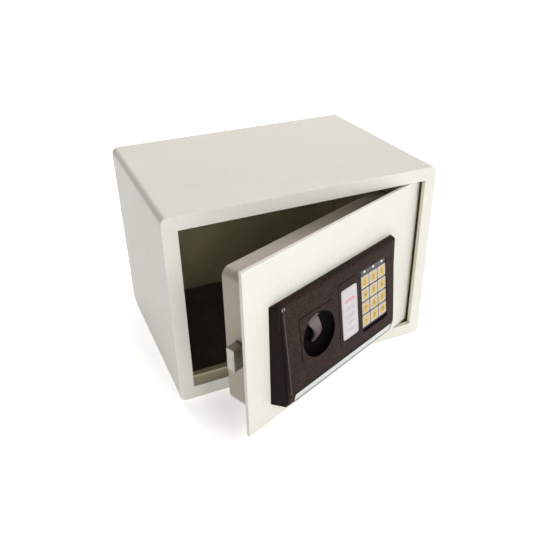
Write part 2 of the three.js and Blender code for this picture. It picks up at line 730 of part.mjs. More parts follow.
// Edge of the finger grip about the knob's centre: wide at the rim, hooked at its low end.
const FINGER_EDGE = [
  [-12, 27], [-8, 16], [-4.8, 9], [-3.8, 2], [-5.6, -3.4], [-9.6, -6],
  [-8.8, -9.2], [-2, -9.8], [5.4, -7.6], [8.8, 0], [8.6, 10], [8, 27],
];

// Finger dish with a humped grip that reaches down from its rim.
function knobDish() {
  const bowl = KNOB.radius - KNOB.rim;
  const floor = KNOB.back + DISH.bowlDepth;
  const profile = [
    new THREE.Vector2(0, KNOB.back),
    new THREE.Vector2(KNOB.radius, KNOB.back),
    new THREE.Vector2(KNOB.radius, KNOB.front),
  ];
  for (let step = 0; step <= DISH.steps; step += 1) {
    const angle = (step / DISH.steps) * (Math.PI / 2);
    const radius = bowl - DISH.bowlRound * (1 - Math.cos(angle));
    profile.push(new THREE.Vector2(radius, KNOB.front - (KNOB.front - floor) * Math.sin(angle)));
  }
  profile.push(new THREE.Vector2(0, floor));
  const dish = new THREE.LatheGeometry(profile, FINE).rotateX(Math.PI);
  const reach = bowl + FINGER.lap;
  const edge = new THREE.SplineCurve(FINGER_EDGE.map(([u, v]) => new THREE.Vector2(u, v)));
  const outline = new THREE.Shape(edge.getPoints(FINGER.smooth));
  const grip = slab(outline, -FINGER.top, -floor + WELD_LAP);
  const inDish = drum(0, 0, -FINGER.top, -KNOB.back, reach, FINE);
  const hump = rod(
    FINGER.humpRadius - FINGER.top, FINGER.humpAt, -FINGER.humpHalf, FINGER.humpHalf,
    FINGER.humpRadius, FINE,
  );
  const knob = join(dish, overlap(overlap(grip, inDish), hump));
  return aboutKnob(knob.translate(KNOB_X, FRONT, KNOB.z), KNOB_TILT);
}

const CARRIER = { front: 14.7, thickness: 3, left: 54, right: 124, bottom: 98, top: 136 };
const CRANK = { front: 8, back: 12.4, hub: 7, tip: 4.5 };
const HALF_THROW = BOLT_THROW / 2;
const CRANK_REST = Math.asin(HALF_THROW / CRANK_RADIUS);

// Spindle from the knob through the plate, with the crank arm and the pin that drives the carrier.
function crankSpindle() {
  const front = FRONT + CRANK.front;
  const back = FRONT + CRANK.back;
  const pinZ = KNOB.z + CRANK_RADIUS;
  const pinEnd = FRONT + CARRIER.front + CARRIER.thickness - CLEARANCE;
  const start = FRONT - KNOB.back + CLEARANCE;
  const spindle = drum(KNOB_X, KNOB.z, start, front + WELD_LAP, SPINDLE_RADIUS);
  const hub = drum(KNOB_X, KNOB.z, front, back, CRANK.hub);
  const tip = drum(KNOB_X, pinZ, front, back, CRANK.tip);
  const web = block(KNOB_X - CRANK.tip, KNOB_X + CRANK.tip, front, back, KNOB.z, pinZ);
  const pin = drum(KNOB_X, pinZ, back - WELD_LAP, pinEnd, CRANK_PIN_RADIUS, FINE);
  return aboutKnob(join(spindle, hub, tip, web, pin), -CRANK_REST);
}

const PLUNGER_S = 66;
const NOTCH = { width: 8, depth: 4.6 };

// Sliding plate with an upright slot for the crank pin and a notch at each end of the throw.
function boltCarrier() {
  const { front, left, right, bottom, top } = CARRIER;
  const back = front + CARRIER.thickness;
  const plate = doorBlock(left, right, -back, -front, bottom, top);
  const slotX = KNOB_X + HALF_THROW;
  const half = CRANK_PIN_RADIUS + CRANK_PIN_SLACK;
  const low = KNOB.z + CRANK_RADIUS * Math.cos(CRANK_REST) - CRANK_PIN_SLACK - half;
  const high = KNOB.z + CRANK_RADIUS + CRANK_PIN_SLACK + half;
  const outline = roundedRectangle(slotX - half, slotX + half, low, high, half - CRANK_SLOT_FLAT);
  const slot = slab(outline, FRONT + front - PAST, FRONT + back + PAST, 8);
  const notches = [0, BOLT_THROW].map((shift) => {
    const middle = PLUNGER_S + shift;
    return doorBlock(
      middle - NOTCH.width / 2, middle + NOTCH.width / 2,
      -back - PAST, -front + PAST, top - NOTCH.depth, top + PAST,
    );
  });
  return cut(plate, slot, ...notches);
}

// Rectangular locking bolt.
function lockBolt() {
  const half = BOLT.height / 2;
  const back = BOLT.front + BOLT.thickness;
  return doorBlock(BOLT.end, BOLT.end + BOLT.length, -back, -BOLT.front, KNOB.z - half, KNOB.z + half);
}

const GUIDE = { left: 20, right: 40, gap: 0.5, wall: 2 };

// Folded guide welded to the plate; the bolt slides through it.
function boltGuide() {
  const { left, right, gap, wall } = GUIDE;
  const half = BOLT.height / 2 + gap;
  const boreBack = BOLT.front + BOLT.thickness + gap;
  const boreFront = BOLT.front - gap;
  const low = KNOB.z - half;
  const high = KNOB.z + half;
  const foot = PLATE_THICKNESS + CLEARANCE;
  const through = (front, back) => doorBlock(left - PAST, right + PAST, -back, -front, low, high);
  const guide = doorBlock(left, right, -boreBack - wall, -foot, low - wall, high + wall);
  return cut(guide, through(boreFront, boreBack), through(CLEARANCE, boreFront - wall));
}

add(door, 'knob', knobDish(), blackBrown());
add(door, 'crank_spindle', crankSpindle(), zinc());
add(door, 'bolt_carrier', boltCarrier(), zinc());
add(door, 'lock_bolt', lockBolt(), steel());
add(door, 'bolt_guide', boltGuide(), zinc());

// ---------------------------------------------------------------- solenoid
const PLUNGER_X = PLATE.left + PLUNGER_S;
const PLUNGER_Y = FRONT + CARRIER.front + CARRIER.thickness / 2;
const COIL = { bottom: 152, top: 184, halfX: 14, front: 7, back: 28, bore: 3.8, boreDepth: 24 };
const PLUNGER = {
  tip: CARRIER.top + 0.6,
  taper: 1,
  collar: 6,
  collarEnd: 7.5,
  point: 2.4,
  radius: 3,
  collarRadius: 5.5,
  reach: 17,
};

function solenoidFrame() {
  const body = block(
    PLUNGER_X - COIL.halfX, PLUNGER_X + COIL.halfX,
    FRONT + COIL.front, FRONT + COIL.back, COIL.bottom, COIL.top,
  );
  const bore = post(PLUNGER_X, PLUNGER_Y, COIL.bottom - PAST, COIL.bottom + COIL.boreDepth, COIL.bore);
  return cut(body, bore);
}

function solenoidPlunger() {
  const { tip, radius, collarRadius } = PLUNGER;
  return turned(PLUNGER_X, PLUNGER_Y, [
    [0, tip],
    [PLUNGER.point, tip],
    [radius, tip + PLUNGER.taper],
    [radius, tip + PLUNGER.collar],
    [collarRadius, tip + PLUNGER.collar],
    [collarRadius, tip + PLUNGER.collarEnd],
    [radius, tip + PLUNGER.collarEnd],
    [radius, COIL.bottom + PLUNGER.reach],
    [0, COIL.bottom + PLUNGER.reach],
  ]);
}

class SpringCurve extends THREE.Curve {
  constructor(x, y, z0, z1, radius, turns) {
    super();
    Object.assign(this, { x, y, z0, z1, radius, turns });
  }

  getPoint(t) {
    const angle = t * this.turns * Math.PI * 2;
    return new THREE.Vector3(
      this.x + this.radius * Math.cos(angle),
      this.y + this.radius * Math.sin(angle),
      this.z0 + (this.z1 - this.z0) * t,
    );
  }
}

// Round wire of the given radius along a curve.
function wire(curve, radius, steps, sides = 8) {
  const section = new THREE.Shape();
  for (let side = 0; side < sides; side += 1) {
    const angle = (side / sides) * Math.PI * 2;
    const x = radius * Math.cos(angle);
    const y = radius * Math.sin(angle);
    if (side === 0) {
      section.moveTo(x, y);
    } else {
      section.lineTo(x, y);
    }
  }
  section.closePath();
  return new THREE.ExtrudeGeometry(section, { steps, extrudePath: curve, bevelEnabled: false });
}

const SPRING = { radius: 4.4, wire: 0.45, turns: 4, endGap: 0.8, steps: 48, sides: 5 };

function plungerSpring() {
  const start = PLUNGER.tip + PLUNGER.collarEnd + SPRING.endGap;
  const end = COIL.bottom - SPRING.endGap;
  const coil = new SpringCurve(PLUNGER_X, PLUNGER_Y, start, end, SPRING.radius, SPRING.turns);
  return wire(coil, SPRING.wire, SPRING.steps, SPRING.sides);
}

add(door, 'solenoid', solenoidFrame(), coilCase());
add(door, 'solenoid_plunger', solenoidPlunger(), zinc());
add(door, 'plunger_spring', plungerSpring(), zinc());

// ---------------------------------------------------------------- emergency lock
const LOCK_X = PLATE.left + LOCK.s;
const BARREL = { front: -12, back: 16, bore: 6.1, nutRadius: 13, nutHeight: 4 };
const PLUG = { radius: 6, recess: 0.4, slotHalfWidth: 4.5, slotHalfHeight: 0.7, slotEnd: -2 };
const CAM = { thickness: 2.7, eye: 7, halfWidth: 4, reach: 22 };

// Cylinder along Y on the lock's axis, from the plate's outer face.
function lockDrum(front, back, radius, segments = COARSE) {
  return drum(LOCK_X, LOCK.z, FRONT + front, FRONT + back, radius, segments);
}

function lockBarrel() {
  const barrel = lockDrum(BARREL.front, BARREL.back, LOCK.radius);
  const nutFront = PLATE_THICKNESS + CLEARANCE;
  const nut = lockDrum(nutFront, PLATE_THICKNESS + BARREL.nutHeight, BARREL.nutRadius, 6);
  const bore = lockDrum(BARREL.front - PAST, BARREL.back + PAST, BARREL.bore, FINE);
  return cut(join(barrel, nut), bore);
}

function lockPlug() {
  const plug = lockDrum(BARREL.front + PLUG.recess, BARREL.back + 1, PLUG.radius, FINE);
  const keySlot = block(
    LOCK_X - PLUG.slotHalfWidth, LOCK_X + PLUG.slotHalfWidth,
    FRONT + BARREL.front - PAST, FRONT + PLUG.slotEnd,
    LOCK.z - PLUG.slotHalfHeight, LOCK.z + PLUG.slotHalfHeight,
  );
  return cut(plug, keySlot);
}

function lockCam() {
  const front = BARREL.back + 1 + CLEARANCE;
  const back = front + CAM.thickness;
  const eye = lockDrum(front, back, CAM.eye);
  const arm = block(
    LOCK_X - CAM.halfWidth, LOCK_X + CAM.halfWidth, FRONT + front, FRONT + back, LOCK.z, LOCK.z + CAM.reach,
  );
  return join(eye, arm);
}

add(door, 'lock_barrel', lockBarrel(), zinc());
add(door, 'lock_plug', lockPlug(), brass());
add(door, 'lock_cam', lockCam(), zinc());

// ---------------------------------------------------------------- power and control
const TRAY = { wall: 1.5, endGap: 3, sideGap: 0.3, floorGap: 8 };
const CELL_Y = PAN_BACK - 9;
const CELL = { nubRadius: 2.7, nubHeight: 1.2 };
const LID = { margin: 5, halfWidth: 34, thickness: 2.4, radius: 3 };
const GRIP = { left: 24, right: 29, half: 9, radius: 2, depth: 1.2 };

function cellZ(index) {
  return BATTERY.z + (index - (BATTERY.count - 1) / 2) * BATTERY.pitch;
}

function batteryTray() {
  const half = BATTERY_STACK + TRAY.sideGap;
  const reach = BATTERY.length / 2 + TRAY.endGap;
  const back = COVER_BACK - CLEARANCE;
  const box = (wall, front, end) => block(
    BATTERY.x - reach - wall, BATTERY.x + reach + wall, front, end,
    BATTERY.z - half - wall, BATTERY.z + half + wall,
  );
  const floor = CELL_Y - TRAY.floorGap;
  return cut(box(TRAY.wall, floor - TRAY.wall, back), box(0, floor, back + PAST));
}

// Round cell with a raised contact at its positive end; neighbours lie opposite ways.
function batteryCell(index) {
  const z = cellZ(index);
  const reach = BATTERY.length / 2;
  const { nubHeight, nubRadius } = CELL;
  const can = rod(CELL_Y, z, BATTERY.x - reach + nubHeight, BATTERY.x + reach - nubHeight, BATTERY.radius);
  const nubLength = nubHeight + WELD_LAP;
  const start = index % 2 ? -reach : reach - nubLength;
  const nub = rod(CELL_Y, z, BATTERY.x + start, BATTERY.x + start + nubLength, nubRadius);
  return join(can, nub);
}

function batteryCover() {
  const half = BATTERY_STACK + LID.margin;
  const front = COVER_BACK + CLEARANCE;
  const outline = roundedRectangle(
    BATTERY.x - LID.halfWidth, BATTERY.x + LID.halfWidth, BATTERY.z - half, BATTERY.z + half, LID.radius,
  );
  const grip = roundedRectangle(
    BATTERY.x + GRIP.left, BATTERY.x + GRIP.right, BATTERY.z - GRIP.half, BATTERY.z + GRIP.half, GRIP.radius,
  );
  const lid = slab(outline, front, front + LID.thickness, TIGHT_CORNER);
  return cut(lid, slab(grip, front + GRIP.depth, front + LID.thickness + PAST, TIGHT_CORNER));
}

const CONTROL = { left: 62, right: 124, bottom: 146, top: 204, y: FRONT + 30, thickness: 1.6 };
const SWITCH = { half: 4, height: 6, lap: 0.5 };

// Circuit board with the switch that the reset button presses.
function controlBoard() {
  const back = CONTROL.y + CONTROL.thickness;
  const board = block(CONTROL.left, CONTROL.right, CONTROL.y, back, CONTROL.bottom, CONTROL.top);
  const resetSwitch = block(
    RESET.x - SWITCH.half, RESET.x + SWITCH.half, back - SWITCH.lap, CONTROL.y + SWITCH.height,
    RESET.z - SWITCH.half, RESET.z + SWITCH.half,
  );
  return join(board, resetSwitch);
}

const RESET_TRAVEL = 1.5;
const RESET_PROUD = 2.2;

function resetButton() {
  const start = CONTROL.y + SWITCH.height + RESET_TRAVEL + CLEARANCE;
  return drum(RESET.x, RESET.z, start, COVER_BACK + RESET_PROUD, RESET.radius);
}

const LEAD = { keypad: 1.6, coil: 1.3, keypadSteps: 16, coilSteps: 24 };

// Lead from the keypad board through the plate to the control board: [s, behind the plate, z].
function keypadLead() {
  const { s, z } = LEAD_HOLE;
  const route = [
    [s - 12, -2.6, z - 8],
    [s - 6, -2.8, z - 3],
    [s, 1, z],
    [s, 8, z],
    [s - 2, 17, z + 6],
    [s - 2, 27, z + 12],
  ].map(([along, behind, height]) => doorPoint(along, -behind, height));
  return wire(new THREE.CatmullRomCurve3(route), LEAD.keypad, LEAD.keypadSteps);
}

// Lead from the solenoid coil across to the control board: [x, behind the plate, z].
function solenoidLead() {
  const start = PLUNGER_X + COIL.halfX + 0.5;
  const route = [
    [start, 22, 178],
    [start + 20, 22, 181],
    [start + 60, 23, 190],
    [start + 100, 23, 192],
    [CONTROL.left + 6, 24, 192],
    [CONTROL.left + 12, 27.5, 192],
  ].map(([x, behind, z]) => new THREE.Vector3(x, FRONT + behind, z));
  return wire(new THREE.CatmullRomCurve3(route), LEAD.coil, LEAD.coilSteps);
}

add(door, 'battery_tray', batteryTray(), black());
for (let index = 0; index < BATTERY.count; index += 1) {
  add(door, `battery_cell_${index + 1}`, batteryCell(index), cellWrap());
}
add(door, 'battery_cover', batteryCover(), black());
add(door, 'control_board', controlBoard(), boardGreen());
add(door, 'reset_button', resetButton(), red());
add(door, 'keypad_lead', keypadLead(), greyLead());
add(door, 'solenoid_lead', solenoidLead(), redLead());

export default root;
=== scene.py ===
# In-room safe, visual model. Metres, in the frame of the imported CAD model.
import json
import math

import bmesh
import bpy
from mathutils import Matrix, Vector

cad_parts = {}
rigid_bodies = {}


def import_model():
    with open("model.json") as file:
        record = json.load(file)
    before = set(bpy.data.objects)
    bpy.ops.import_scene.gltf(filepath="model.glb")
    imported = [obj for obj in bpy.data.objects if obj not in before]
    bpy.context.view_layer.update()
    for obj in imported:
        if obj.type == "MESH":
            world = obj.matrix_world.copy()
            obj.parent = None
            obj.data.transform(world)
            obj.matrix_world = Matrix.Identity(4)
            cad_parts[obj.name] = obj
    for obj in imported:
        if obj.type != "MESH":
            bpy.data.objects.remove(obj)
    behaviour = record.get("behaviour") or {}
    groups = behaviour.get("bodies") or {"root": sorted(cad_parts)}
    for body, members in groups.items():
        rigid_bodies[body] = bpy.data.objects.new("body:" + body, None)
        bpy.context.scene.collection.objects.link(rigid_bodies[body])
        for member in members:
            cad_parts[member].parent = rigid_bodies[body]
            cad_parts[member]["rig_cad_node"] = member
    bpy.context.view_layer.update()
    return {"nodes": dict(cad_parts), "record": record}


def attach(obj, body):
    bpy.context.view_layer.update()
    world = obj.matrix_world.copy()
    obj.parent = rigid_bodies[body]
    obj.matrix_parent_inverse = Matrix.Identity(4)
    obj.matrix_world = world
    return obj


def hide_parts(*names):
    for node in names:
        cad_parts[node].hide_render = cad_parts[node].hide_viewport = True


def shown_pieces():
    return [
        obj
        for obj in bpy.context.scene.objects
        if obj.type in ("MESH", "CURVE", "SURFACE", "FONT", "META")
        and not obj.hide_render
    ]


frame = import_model()
nodes = frame["nodes"]
scene = bpy.context.scene

# ---------------------------------------------------------------- camera
camera_data = bpy.data.cameras.new("camera")
camera_data.lens = 40.88
camera_data.sensor_width = 36.0
camera = bpy.data.objects.new("camera", camera_data)
eye = Vector((-0.2994, -0.7120, 0.5280))
right = Vector((0.91360, -0.40627, -0.01688))
forward = Vector((0.34196, 0.79013, -0.50868))
forward.normalize()
right = (right - forward * right.dot(forward)).normalized()
up = right.cross(forward)
turn = Matrix((right, up, -forward)).transposed().to_4x4()
camera.matrix_world = Matrix.Translation(eye) @ turn
scene.collection.objects.link(camera)
scene.camera = camera

# ---------------------------------------------------------------- the door's own frame
MM = 0.001
PIVOT = Vector((0.1295, -0.110, 0.0))
OPEN_ANGLE = math.radians(22.8)
SWING = Matrix.Rotation(OPEN_ANGLE, 4, "Z")
DOOR = Matrix.Translation(PIVOT) @ SWING @ Matrix.Translation(-PIVOT)
DOOR_BACK = DOOR.inverted()

# Metres: the plate's left edge and front face, and the cabinet's back face.
PLATE_LEFT = -0.1553
FRONT = -0.125
BACK = 0.125

# Millimetres from here on: along the plate from its left edge, up, and out of it.
PANEL_LEFT, PANEL_RIGHT = 35, 255
PANEL_BOTTOM, PANEL_TOP = 44, 175
RIM_OUT_BOTTOM, RIM_OUT_TOP = 16.4, 9.3
RIM_DRAFT = 0.46
FACE_LEFT, FACE_RIGHT = 46.7, 243.3
FACE_BOTTOM, FACE_TOP = 63, 172
FACE_OUT_TOP = 10
FACE_SLOPE = 0.11
FACE_TILT = math.atan(FACE_SLOPE)
CHIN_OUT, CHIN_BOTTOM = 18, 46
KNOB_S, KNOB_Z = 99.3, 115.5
KNOB_TURN = math.radians(14)
KNOB_HOLE = 27.0
PAD_S, PAD_Z = 155, 116.5
PAD_WIDTH, PAD_HEIGHT = 29.6, 67.1
WINDOW_S, WINDOW_Z = 204.25, 116.95
WINDOW_WIDTH, WINDOW_HEIGHT = 50.6, 82.6
GROOVE_WIDTH = 0.85
KEY_S, KEY_Z = 187, 142.3
KEY_STEP_S, KEY_STEP_Z = 17.25, 17.5
KEY_SIZE = 15.7
LAMP_Z = 155.4


def shut(s, out, z):
    """Point on the shut door, from millimetres along it, out of it and up."""
    return Vector((PLATE_LEFT + s * MM, FRONT - out * MM, z * MM))


def face_out(z):
    """How far the leaning face stands out of the plate at this height."""
    return FACE_OUT_TOP + (FACE_TOP - z) * FACE_SLOPE


def rim_out(z):
    """How far the panel's outer rim stands out of the plate at this height."""
    rise = (PANEL_TOP - z) / (PANEL_TOP - PANEL_BOTTOM)
    return RIM_OUT_TOP + (RIM_OUT_BOTTOM - RIM_OUT_TOP) * rise


def face_frame(s, z, depth=0.0):
    """On the leaning face: local x along the door, y up the face, z out of it."""
    inward = Vector((0, math.cos(FACE_TILT), -math.sin(FACE_TILT)))
    place = shut(s, face_out(z), z) + inward * depth * MM
    lean = Matrix.Rotation(math.pi / 2 - FACE_TILT, 4, "X")
    return DOOR @ Matrix.Translation(place) @ lean


def flat_frame(s, z, out):
    """Parallel to the door plate: local x along the door, y up, z out."""
    upright = Matrix.Rotation(math.pi / 2, 4, "X")
    return DOOR @ Matrix.Translation(shut(s, out, z)) @ upright


# ---------------------------------------------------------------- node materials
class Paint:
    """A material's node tree with short calls for the nodes used here."""

    def __init__(self, name, roughness=0.5, metallic=0.0):
        self.material = bpy.data.materials.new(name)
        self.material.use_nodes = True
        self.tree = self.material.node_tree
        self.shader = self.tree.nodes["Principled BSDF"]
        self.shader.inputs["Roughness"].default_value = roughness
        self.shader.inputs["Metallic"].default_value = metallic
        self.place = self.tree.nodes.new("ShaderNodeTexCoord").outputs["Object"]
        self.height = None

    def link(self, output, target):
        self.tree.links.new(output, target)

    def value(self, socket, given):
        """Link an output to the socket, or set a number or an RGB colour on it."""
        if isinstance(given, bpy.types.NodeSocket):
            self.link(given, socket)
        elif isinstance(given, (tuple, list)) and len(given) == 3:
            socket.default_value = (*given, 1.0)
        else:
            socket.default_value = given

    def math(self, operation, first, second=0.0):
        node = self.tree.nodes.new("ShaderNodeMath")
        node.operation = operation
        for socket, given in zip(node.inputs, (first, second)):
            self.value(socket, given)
        return node.outputs[0]

    def mapped(self, scale):
        node = self.tree.nodes.new("ShaderNodeMapping")
        self.link(self.place, node.inputs["Vector"])
        node.inputs["Scale"].default_value = scale
        return node.outputs[0]

    def noise(self, scale, detail=2.0, rough=0.5, place=None, distortion=0.0):
        node = self.tree.nodes.new("ShaderNodeTexNoise")
        self.link(place or self.place, node.inputs["Vector"])
        node.inputs["Scale"].default_value = scale
        node.inputs["Detail"].default_value = detail
        node.inputs["Roughness"].default_value = rough
        node.inputs["Distortion"].default_value = distortion
        return node.outputs[0]

    def cells(self, scale):
        node = self.tree.nodes.new("ShaderNodeTexVoronoi")
        self.link(self.place, node.inputs["Vector"])
        node.inputs["Scale"].default_value = scale
        return node.outputs["Distance"]

    def spread(self, given, low, high, to_low=0.0, to_high=1.0):
        """Smooth ramp from to_low at low to to_high at high."""
        node = self.tree.nodes.new("ShaderNodeMapRange")
        node.interpolation_type = "SMOOTHSTEP"
        self.value(node.inputs["Value"], given)
        node.inputs["From Min"].default_value = low
        node.inputs["From Max"].default_value = high
        node.inputs["To Min"].default_value = to_low
        node.inputs["To Max"].default_value = to_high
        return node.outputs[0]

    def mix(self, factor, first, second):
        node = self.tree.nodes.new("ShaderNodeMix")
        node.data_type = "RGBA"
        self.value(node.inputs["Factor"], factor)
        self.value(node.inputs[6], first)
        self.value(node.inputs[7], second)
        return node.outputs[2]

    def parts(self, place=None):
        node = self.tree.nodes.new("ShaderNodeSeparateXYZ")
        self.link(place or self.place, node.inputs[0])
        return node.outputs

    def color(self, given):
        self.value(self.shader.inputs["Base Color"], given)

    def rough(self, given):
        self.value(self.shader.inputs["Roughness"], given)

    def set(self, socket_name, number):
        self.shader.inputs[socket_name].default_value = number

    def bump(self, height, distance, strength=1.0):
        node = self.tree.nodes.new("ShaderNodeBump")
        node.inputs["Strength"].default_value = strength
        node.inputs["Distance"].default_value = distance
        self.link(height, node.inputs["Height"])
        if self.height is not None:
            self.link(self.height, node.inputs["Normal"])
        self.height = node.outputs[0]
        self.link(self.height, self.shader.inputs["Normal"])

    def door_place(self):
        """Position on the shut door, in metres, for a pattern laid out on it."""
        node = self.tree.nodes.new("ShaderNodeMapping")
        self.link(self.place, node.inputs["Vector"])
        node.vector_type = "POINT"
        node.inputs["Rotation"].default_value = (0, 0, -OPEN_ANGLE)
        node.inputs["Location"].default_value = DOOR_BACK.to_translation()
        return node.outputs[0]

    def door_parts(self):
        return self.parts(self.door_place())

    def band(self, value, low, high, soft=0.0002):
        """1 between low and high, 0 outside."""
        rise = self.spread(value, low - soft, low + soft)
        fall = self.spread(value, high - soft, high + soft, 1.0, 0.0)
        return self.math("MULTIPLY", rise, fall)

    def both(self, first, second):
        """Product of two masks, or a mask at part strength."""
        return self.math("MULTIPLY", first, second)

    def either(self, first, second):
        return self.math("MAXIMUM", first, second)

    def distance(self, value, centre):
        return self.math("ABSOLUTE", self.math("SUBTRACT", value, centre))


def darker(color, share):
    return [channel * share for channel in color]


def scaled(limits, start=0.0):
    """A pair of millimetres in metres, from a start in metres."""
    low, high = (start + limit * MM for limit in limits)
    return low, high


# The cabinet's inside, in metres. The last pair is a limit on the distance across plus the
# distance up from the middle, which leaves the rounded outer corners out.
INSIDE_HALF_WIDTH = 0.1736
INSIDE_LOW, INSIDE_HIGH = 0.0014, 0.2486
INSIDE_FRONT, INSIDE_BACK = -0.1226, 0.1234
MIDDLE_HEIGHT = 0.125
CORNER_NEAR, CORNER_FAR = 0.2934, 0.2940
FOLD_END = (-0.1090, -0.1080)
# Painted shade tone for the fold round the opening.
FOLD_SHADE = (0.76, 0.71, 0.53)


def inside_shade_tone(paint, tone, inside):
    """Painted shade on the inner faces, and a paler one painted on the fold round the opening."""
    x, y, z = paint.parts()
    within = paint.both(
        paint.band(x, -INSIDE_HALF_WIDTH, INSIDE_HALF_WIDTH),
        paint.band(z, INSIDE_LOW, INSIDE_HIGH),
    )
    within = paint.both(within, paint.band(y, INSIDE_FRONT, INSIDE_BACK, 0.0004))
    high = paint.distance(z, MIDDLE_HEIGHT)
    corner = paint.math("ADD", paint.math("ABSOLUTE", x), high)
    within = paint.both(within, paint.spread(corner, CORNER_NEAR, CORNER_FAR, 1.0, 0.0))
    # The inside's painted shade, in cloudy patches, with a paler painted shade on the fold.
    cloud = paint.spread(paint.noise(9.0, 4.0, 0.6), 0.3, 0.7)
    inside_shade_mix = paint.mix(cloud, inside, darker(inside, 0.72))
    inside_shade_mix = paint.mix(paint.spread(y, *FOLD_END), FOLD_SHADE, inside_shade_mix)
    return paint.mix(within, tone, inside_shade_mix)


def powder_coat(name, base, dark, roughness, inside=None):
    """Textured powder coat: orange peel, fine grain, faint blotches and a few dust specks."""
    paint = Paint(name, roughness)
    blotch = paint.spread(paint.noise(14.0, 3.0, 0.6), 0.35, 0.68)
    tone = paint.mix(blotch, base, dark)
    grain = paint.spread(paint.noise(850.0, 2.0, 0.6), 0.36, 0.64)
    tone = paint.mix(paint.both(grain, 0.5), tone, darker(dark, 0.86))
    speck = paint.spread(paint.noise(420.0, 3.0, 0.65), 0.66, 0.74)
    tone = paint.mix(paint.both(speck, 0.28), tone, darker(dark, 0.72))
    # Painted shade on the cabinet's inner faces, where their colour is given.
    if inside is not None:
        tone = inside_shade_tone(paint, tone, inside)
    paint.color(tone)
    gloss = paint.noise(180.0, 2.0)
    paint.rough(paint.spread(gloss, 0.3, 0.7, roughness - 0.02, roughness + 0.03))
    peel = paint.math("ADD", paint.noise(650.0, 2.0, 0.55), paint.both(paint.cells(900.0), 0.35))
    paint.bump(peel, 0.00008, 0.6)
    return paint


def moulded(name, base, light, roughness, grain=1500.0, depth=0.00003, specular=0.5):
    """Moulded plastic with a spark-eroded grain."""
    paint = Paint(name, roughness)
    fleck = paint.spread(paint.noise(grain, 2.0, 0.7), 0.42, 0.7)
    cloud = paint.spread(paint.noise(35.0, 3.0), 0.3, 0.7)
    tone = paint.mix(paint.both(fleck, 0.55), base, light)
    paint.color(paint.mix(paint.both(cloud, 0.35), tone, darker(base, 0.8)))
    gloss = paint.noise(grain * 0.5)
    paint.rough(paint.spread(gloss, 0.3, 0.7, roughness - 0.06, roughness + 0.07))
    paint.bump(paint.noise(grain, 3.0, 0.6), depth, 0.6)
    paint.set("Specular IOR Level", specular)
    return paint


def metal(name, base, roughness, brushed=(1, 1, 40), tarnish=0.35):
    """Plated or ground metal with fine directional scratches and a little tarnish."""
    paint = Paint(name, roughness, 1.0)
    scratch = paint.noise(120.0, 4.0, 0.7, paint.mapped(brushed))
    cloud = paint.spread(paint.noise(90.0, 3.0, 0.6), 0.35, 0.7)
    paint.color(paint.mix(paint.both(cloud, tarnish), base, darker(base, 0.55)))
    paint.rough(paint.spread(scratch, 0.3, 0.7, roughness - 0.07, roughness + 0.12))
    paint.bump(scratch, 0.00002, 0.5)
    return paint


def felt():
    """Dark brown needle felt with fibres that run from front to back."""
    paint = Paint("needle_felt", 0.95)
    fibre = paint.noise(900.0, 4.0, 0.75, paint.mapped((1, 0.35, 1)), 1.5)
    cloud = paint.spread(paint.noise(45.0, 4.0), 0.3, 0.7)
    tone = paint.mix(paint.spread(fibre, 0.4, 0.65), (0.048, 0.028, 0.021), (0.125, 0.078, 0.062))
    paint.color(paint.mix(paint.both(cloud, 0.5), tone, (0.034, 0.019, 0.014)))
    paint.bump(fibre, 0.0004, 0.9)
    paint.set("Sheen Weight", 0.25)
    paint.set("Sheen Roughness", 0.6)
    return paint


# The cover plate's print, in millimetres: the border's inner and outer distance from the
# middle, across and up; the pink bar; and the grey bars as (low, high, half length).
BORDER_ACROSS = (12.4, 13.0)
BORDER_UP = (31.1, 31.7)
PINK_BAR = (131.6, 135.4, 9.6)
GREY_BARS = (
    (124.6, 125.5, 6.0), (121.4, 122.3, 9.4), (113.4, 114.2, 9.6),
    (110.4, 111.2, 7.4), (103.4, 104.2, 6.6), (94.4, 95.1, 9.6),
)


def cover_label():
    """White plate with a thin pink border, one plain pink bar and plain grey bars."""
    paint = Paint("cover_plate_white", 0.32)
    place = paint.door_parts()
    across = paint.distance(place["X"], PLATE_LEFT + PAD_S * MM)
    tall = paint.distance(place["Z"], PAD_Z * MM)

    def bar(low, high, half):
        length = paint.band(across, -1, half * MM)
        return paint.both(length, paint.band(place["Z"], low * MM, high * MM))

    edge = paint.either(
        paint.band(across, *scaled(BORDER_ACROSS), 0.00012),
        paint.band(tall, *scaled(BORDER_UP), 0.00012),
    )
    within = paint.both(
        paint.band(across, -1, BORDER_ACROSS[1] * MM), paint.band(tall, -1, BORDER_UP[1] * MM)
    )
    edge = paint.both(edge, within)
    cloud = paint.spread(paint.noise(60.0, 3.0), 0.3, 0.7)
    tone = paint.mix(cloud, (0.50, 0.488, 0.492), (0.46, 0.449, 0.453))
    tone = paint.mix(paint.both(edge, 0.85), tone, (0.50, 0.25, 0.30))
    tone = paint.mix(paint.both(bar(*PINK_BAR), 0.6), tone, (0.60, 0.10, 0.17))
    for row in GREY_BARS:
        tone = paint.mix(paint.both(bar(*row), 0.7), tone, (0.20, 0.19, 0.20))
    paint.color(tone)
    paint.bump(paint.noise(500.0, 2.0), 0.00002, 0.4)
    paint.set("Coat Weight", 0.25)
    return paint


# The copper band of the battery wrap on the shut door, in metres from the cabinet's middle.
WRAP_LEFT, WRAP_RIGHT = 0.048, 0.066


def printed_cell():
    """Plain battery wrap: a copper-coloured band and a dark band, with no lettering."""
    paint = Paint("cell_wrap", 0.28, 0.35)
    band = paint.band(paint.door_parts()["X"], WRAP_LEFT, WRAP_RIGHT, 0.0004)
    cloud = paint.noise(120.0, 3.0)
    tone = paint.mix(band, (0.03, 0.03, 0.032), (0.52, 0.25, 0.11))
    paint.color(paint.mix(paint.both(cloud, 0.3), tone, (0.02, 0.02, 0.02)))
    paint.bump(cloud, 0.00002, 0.4)
    return paint


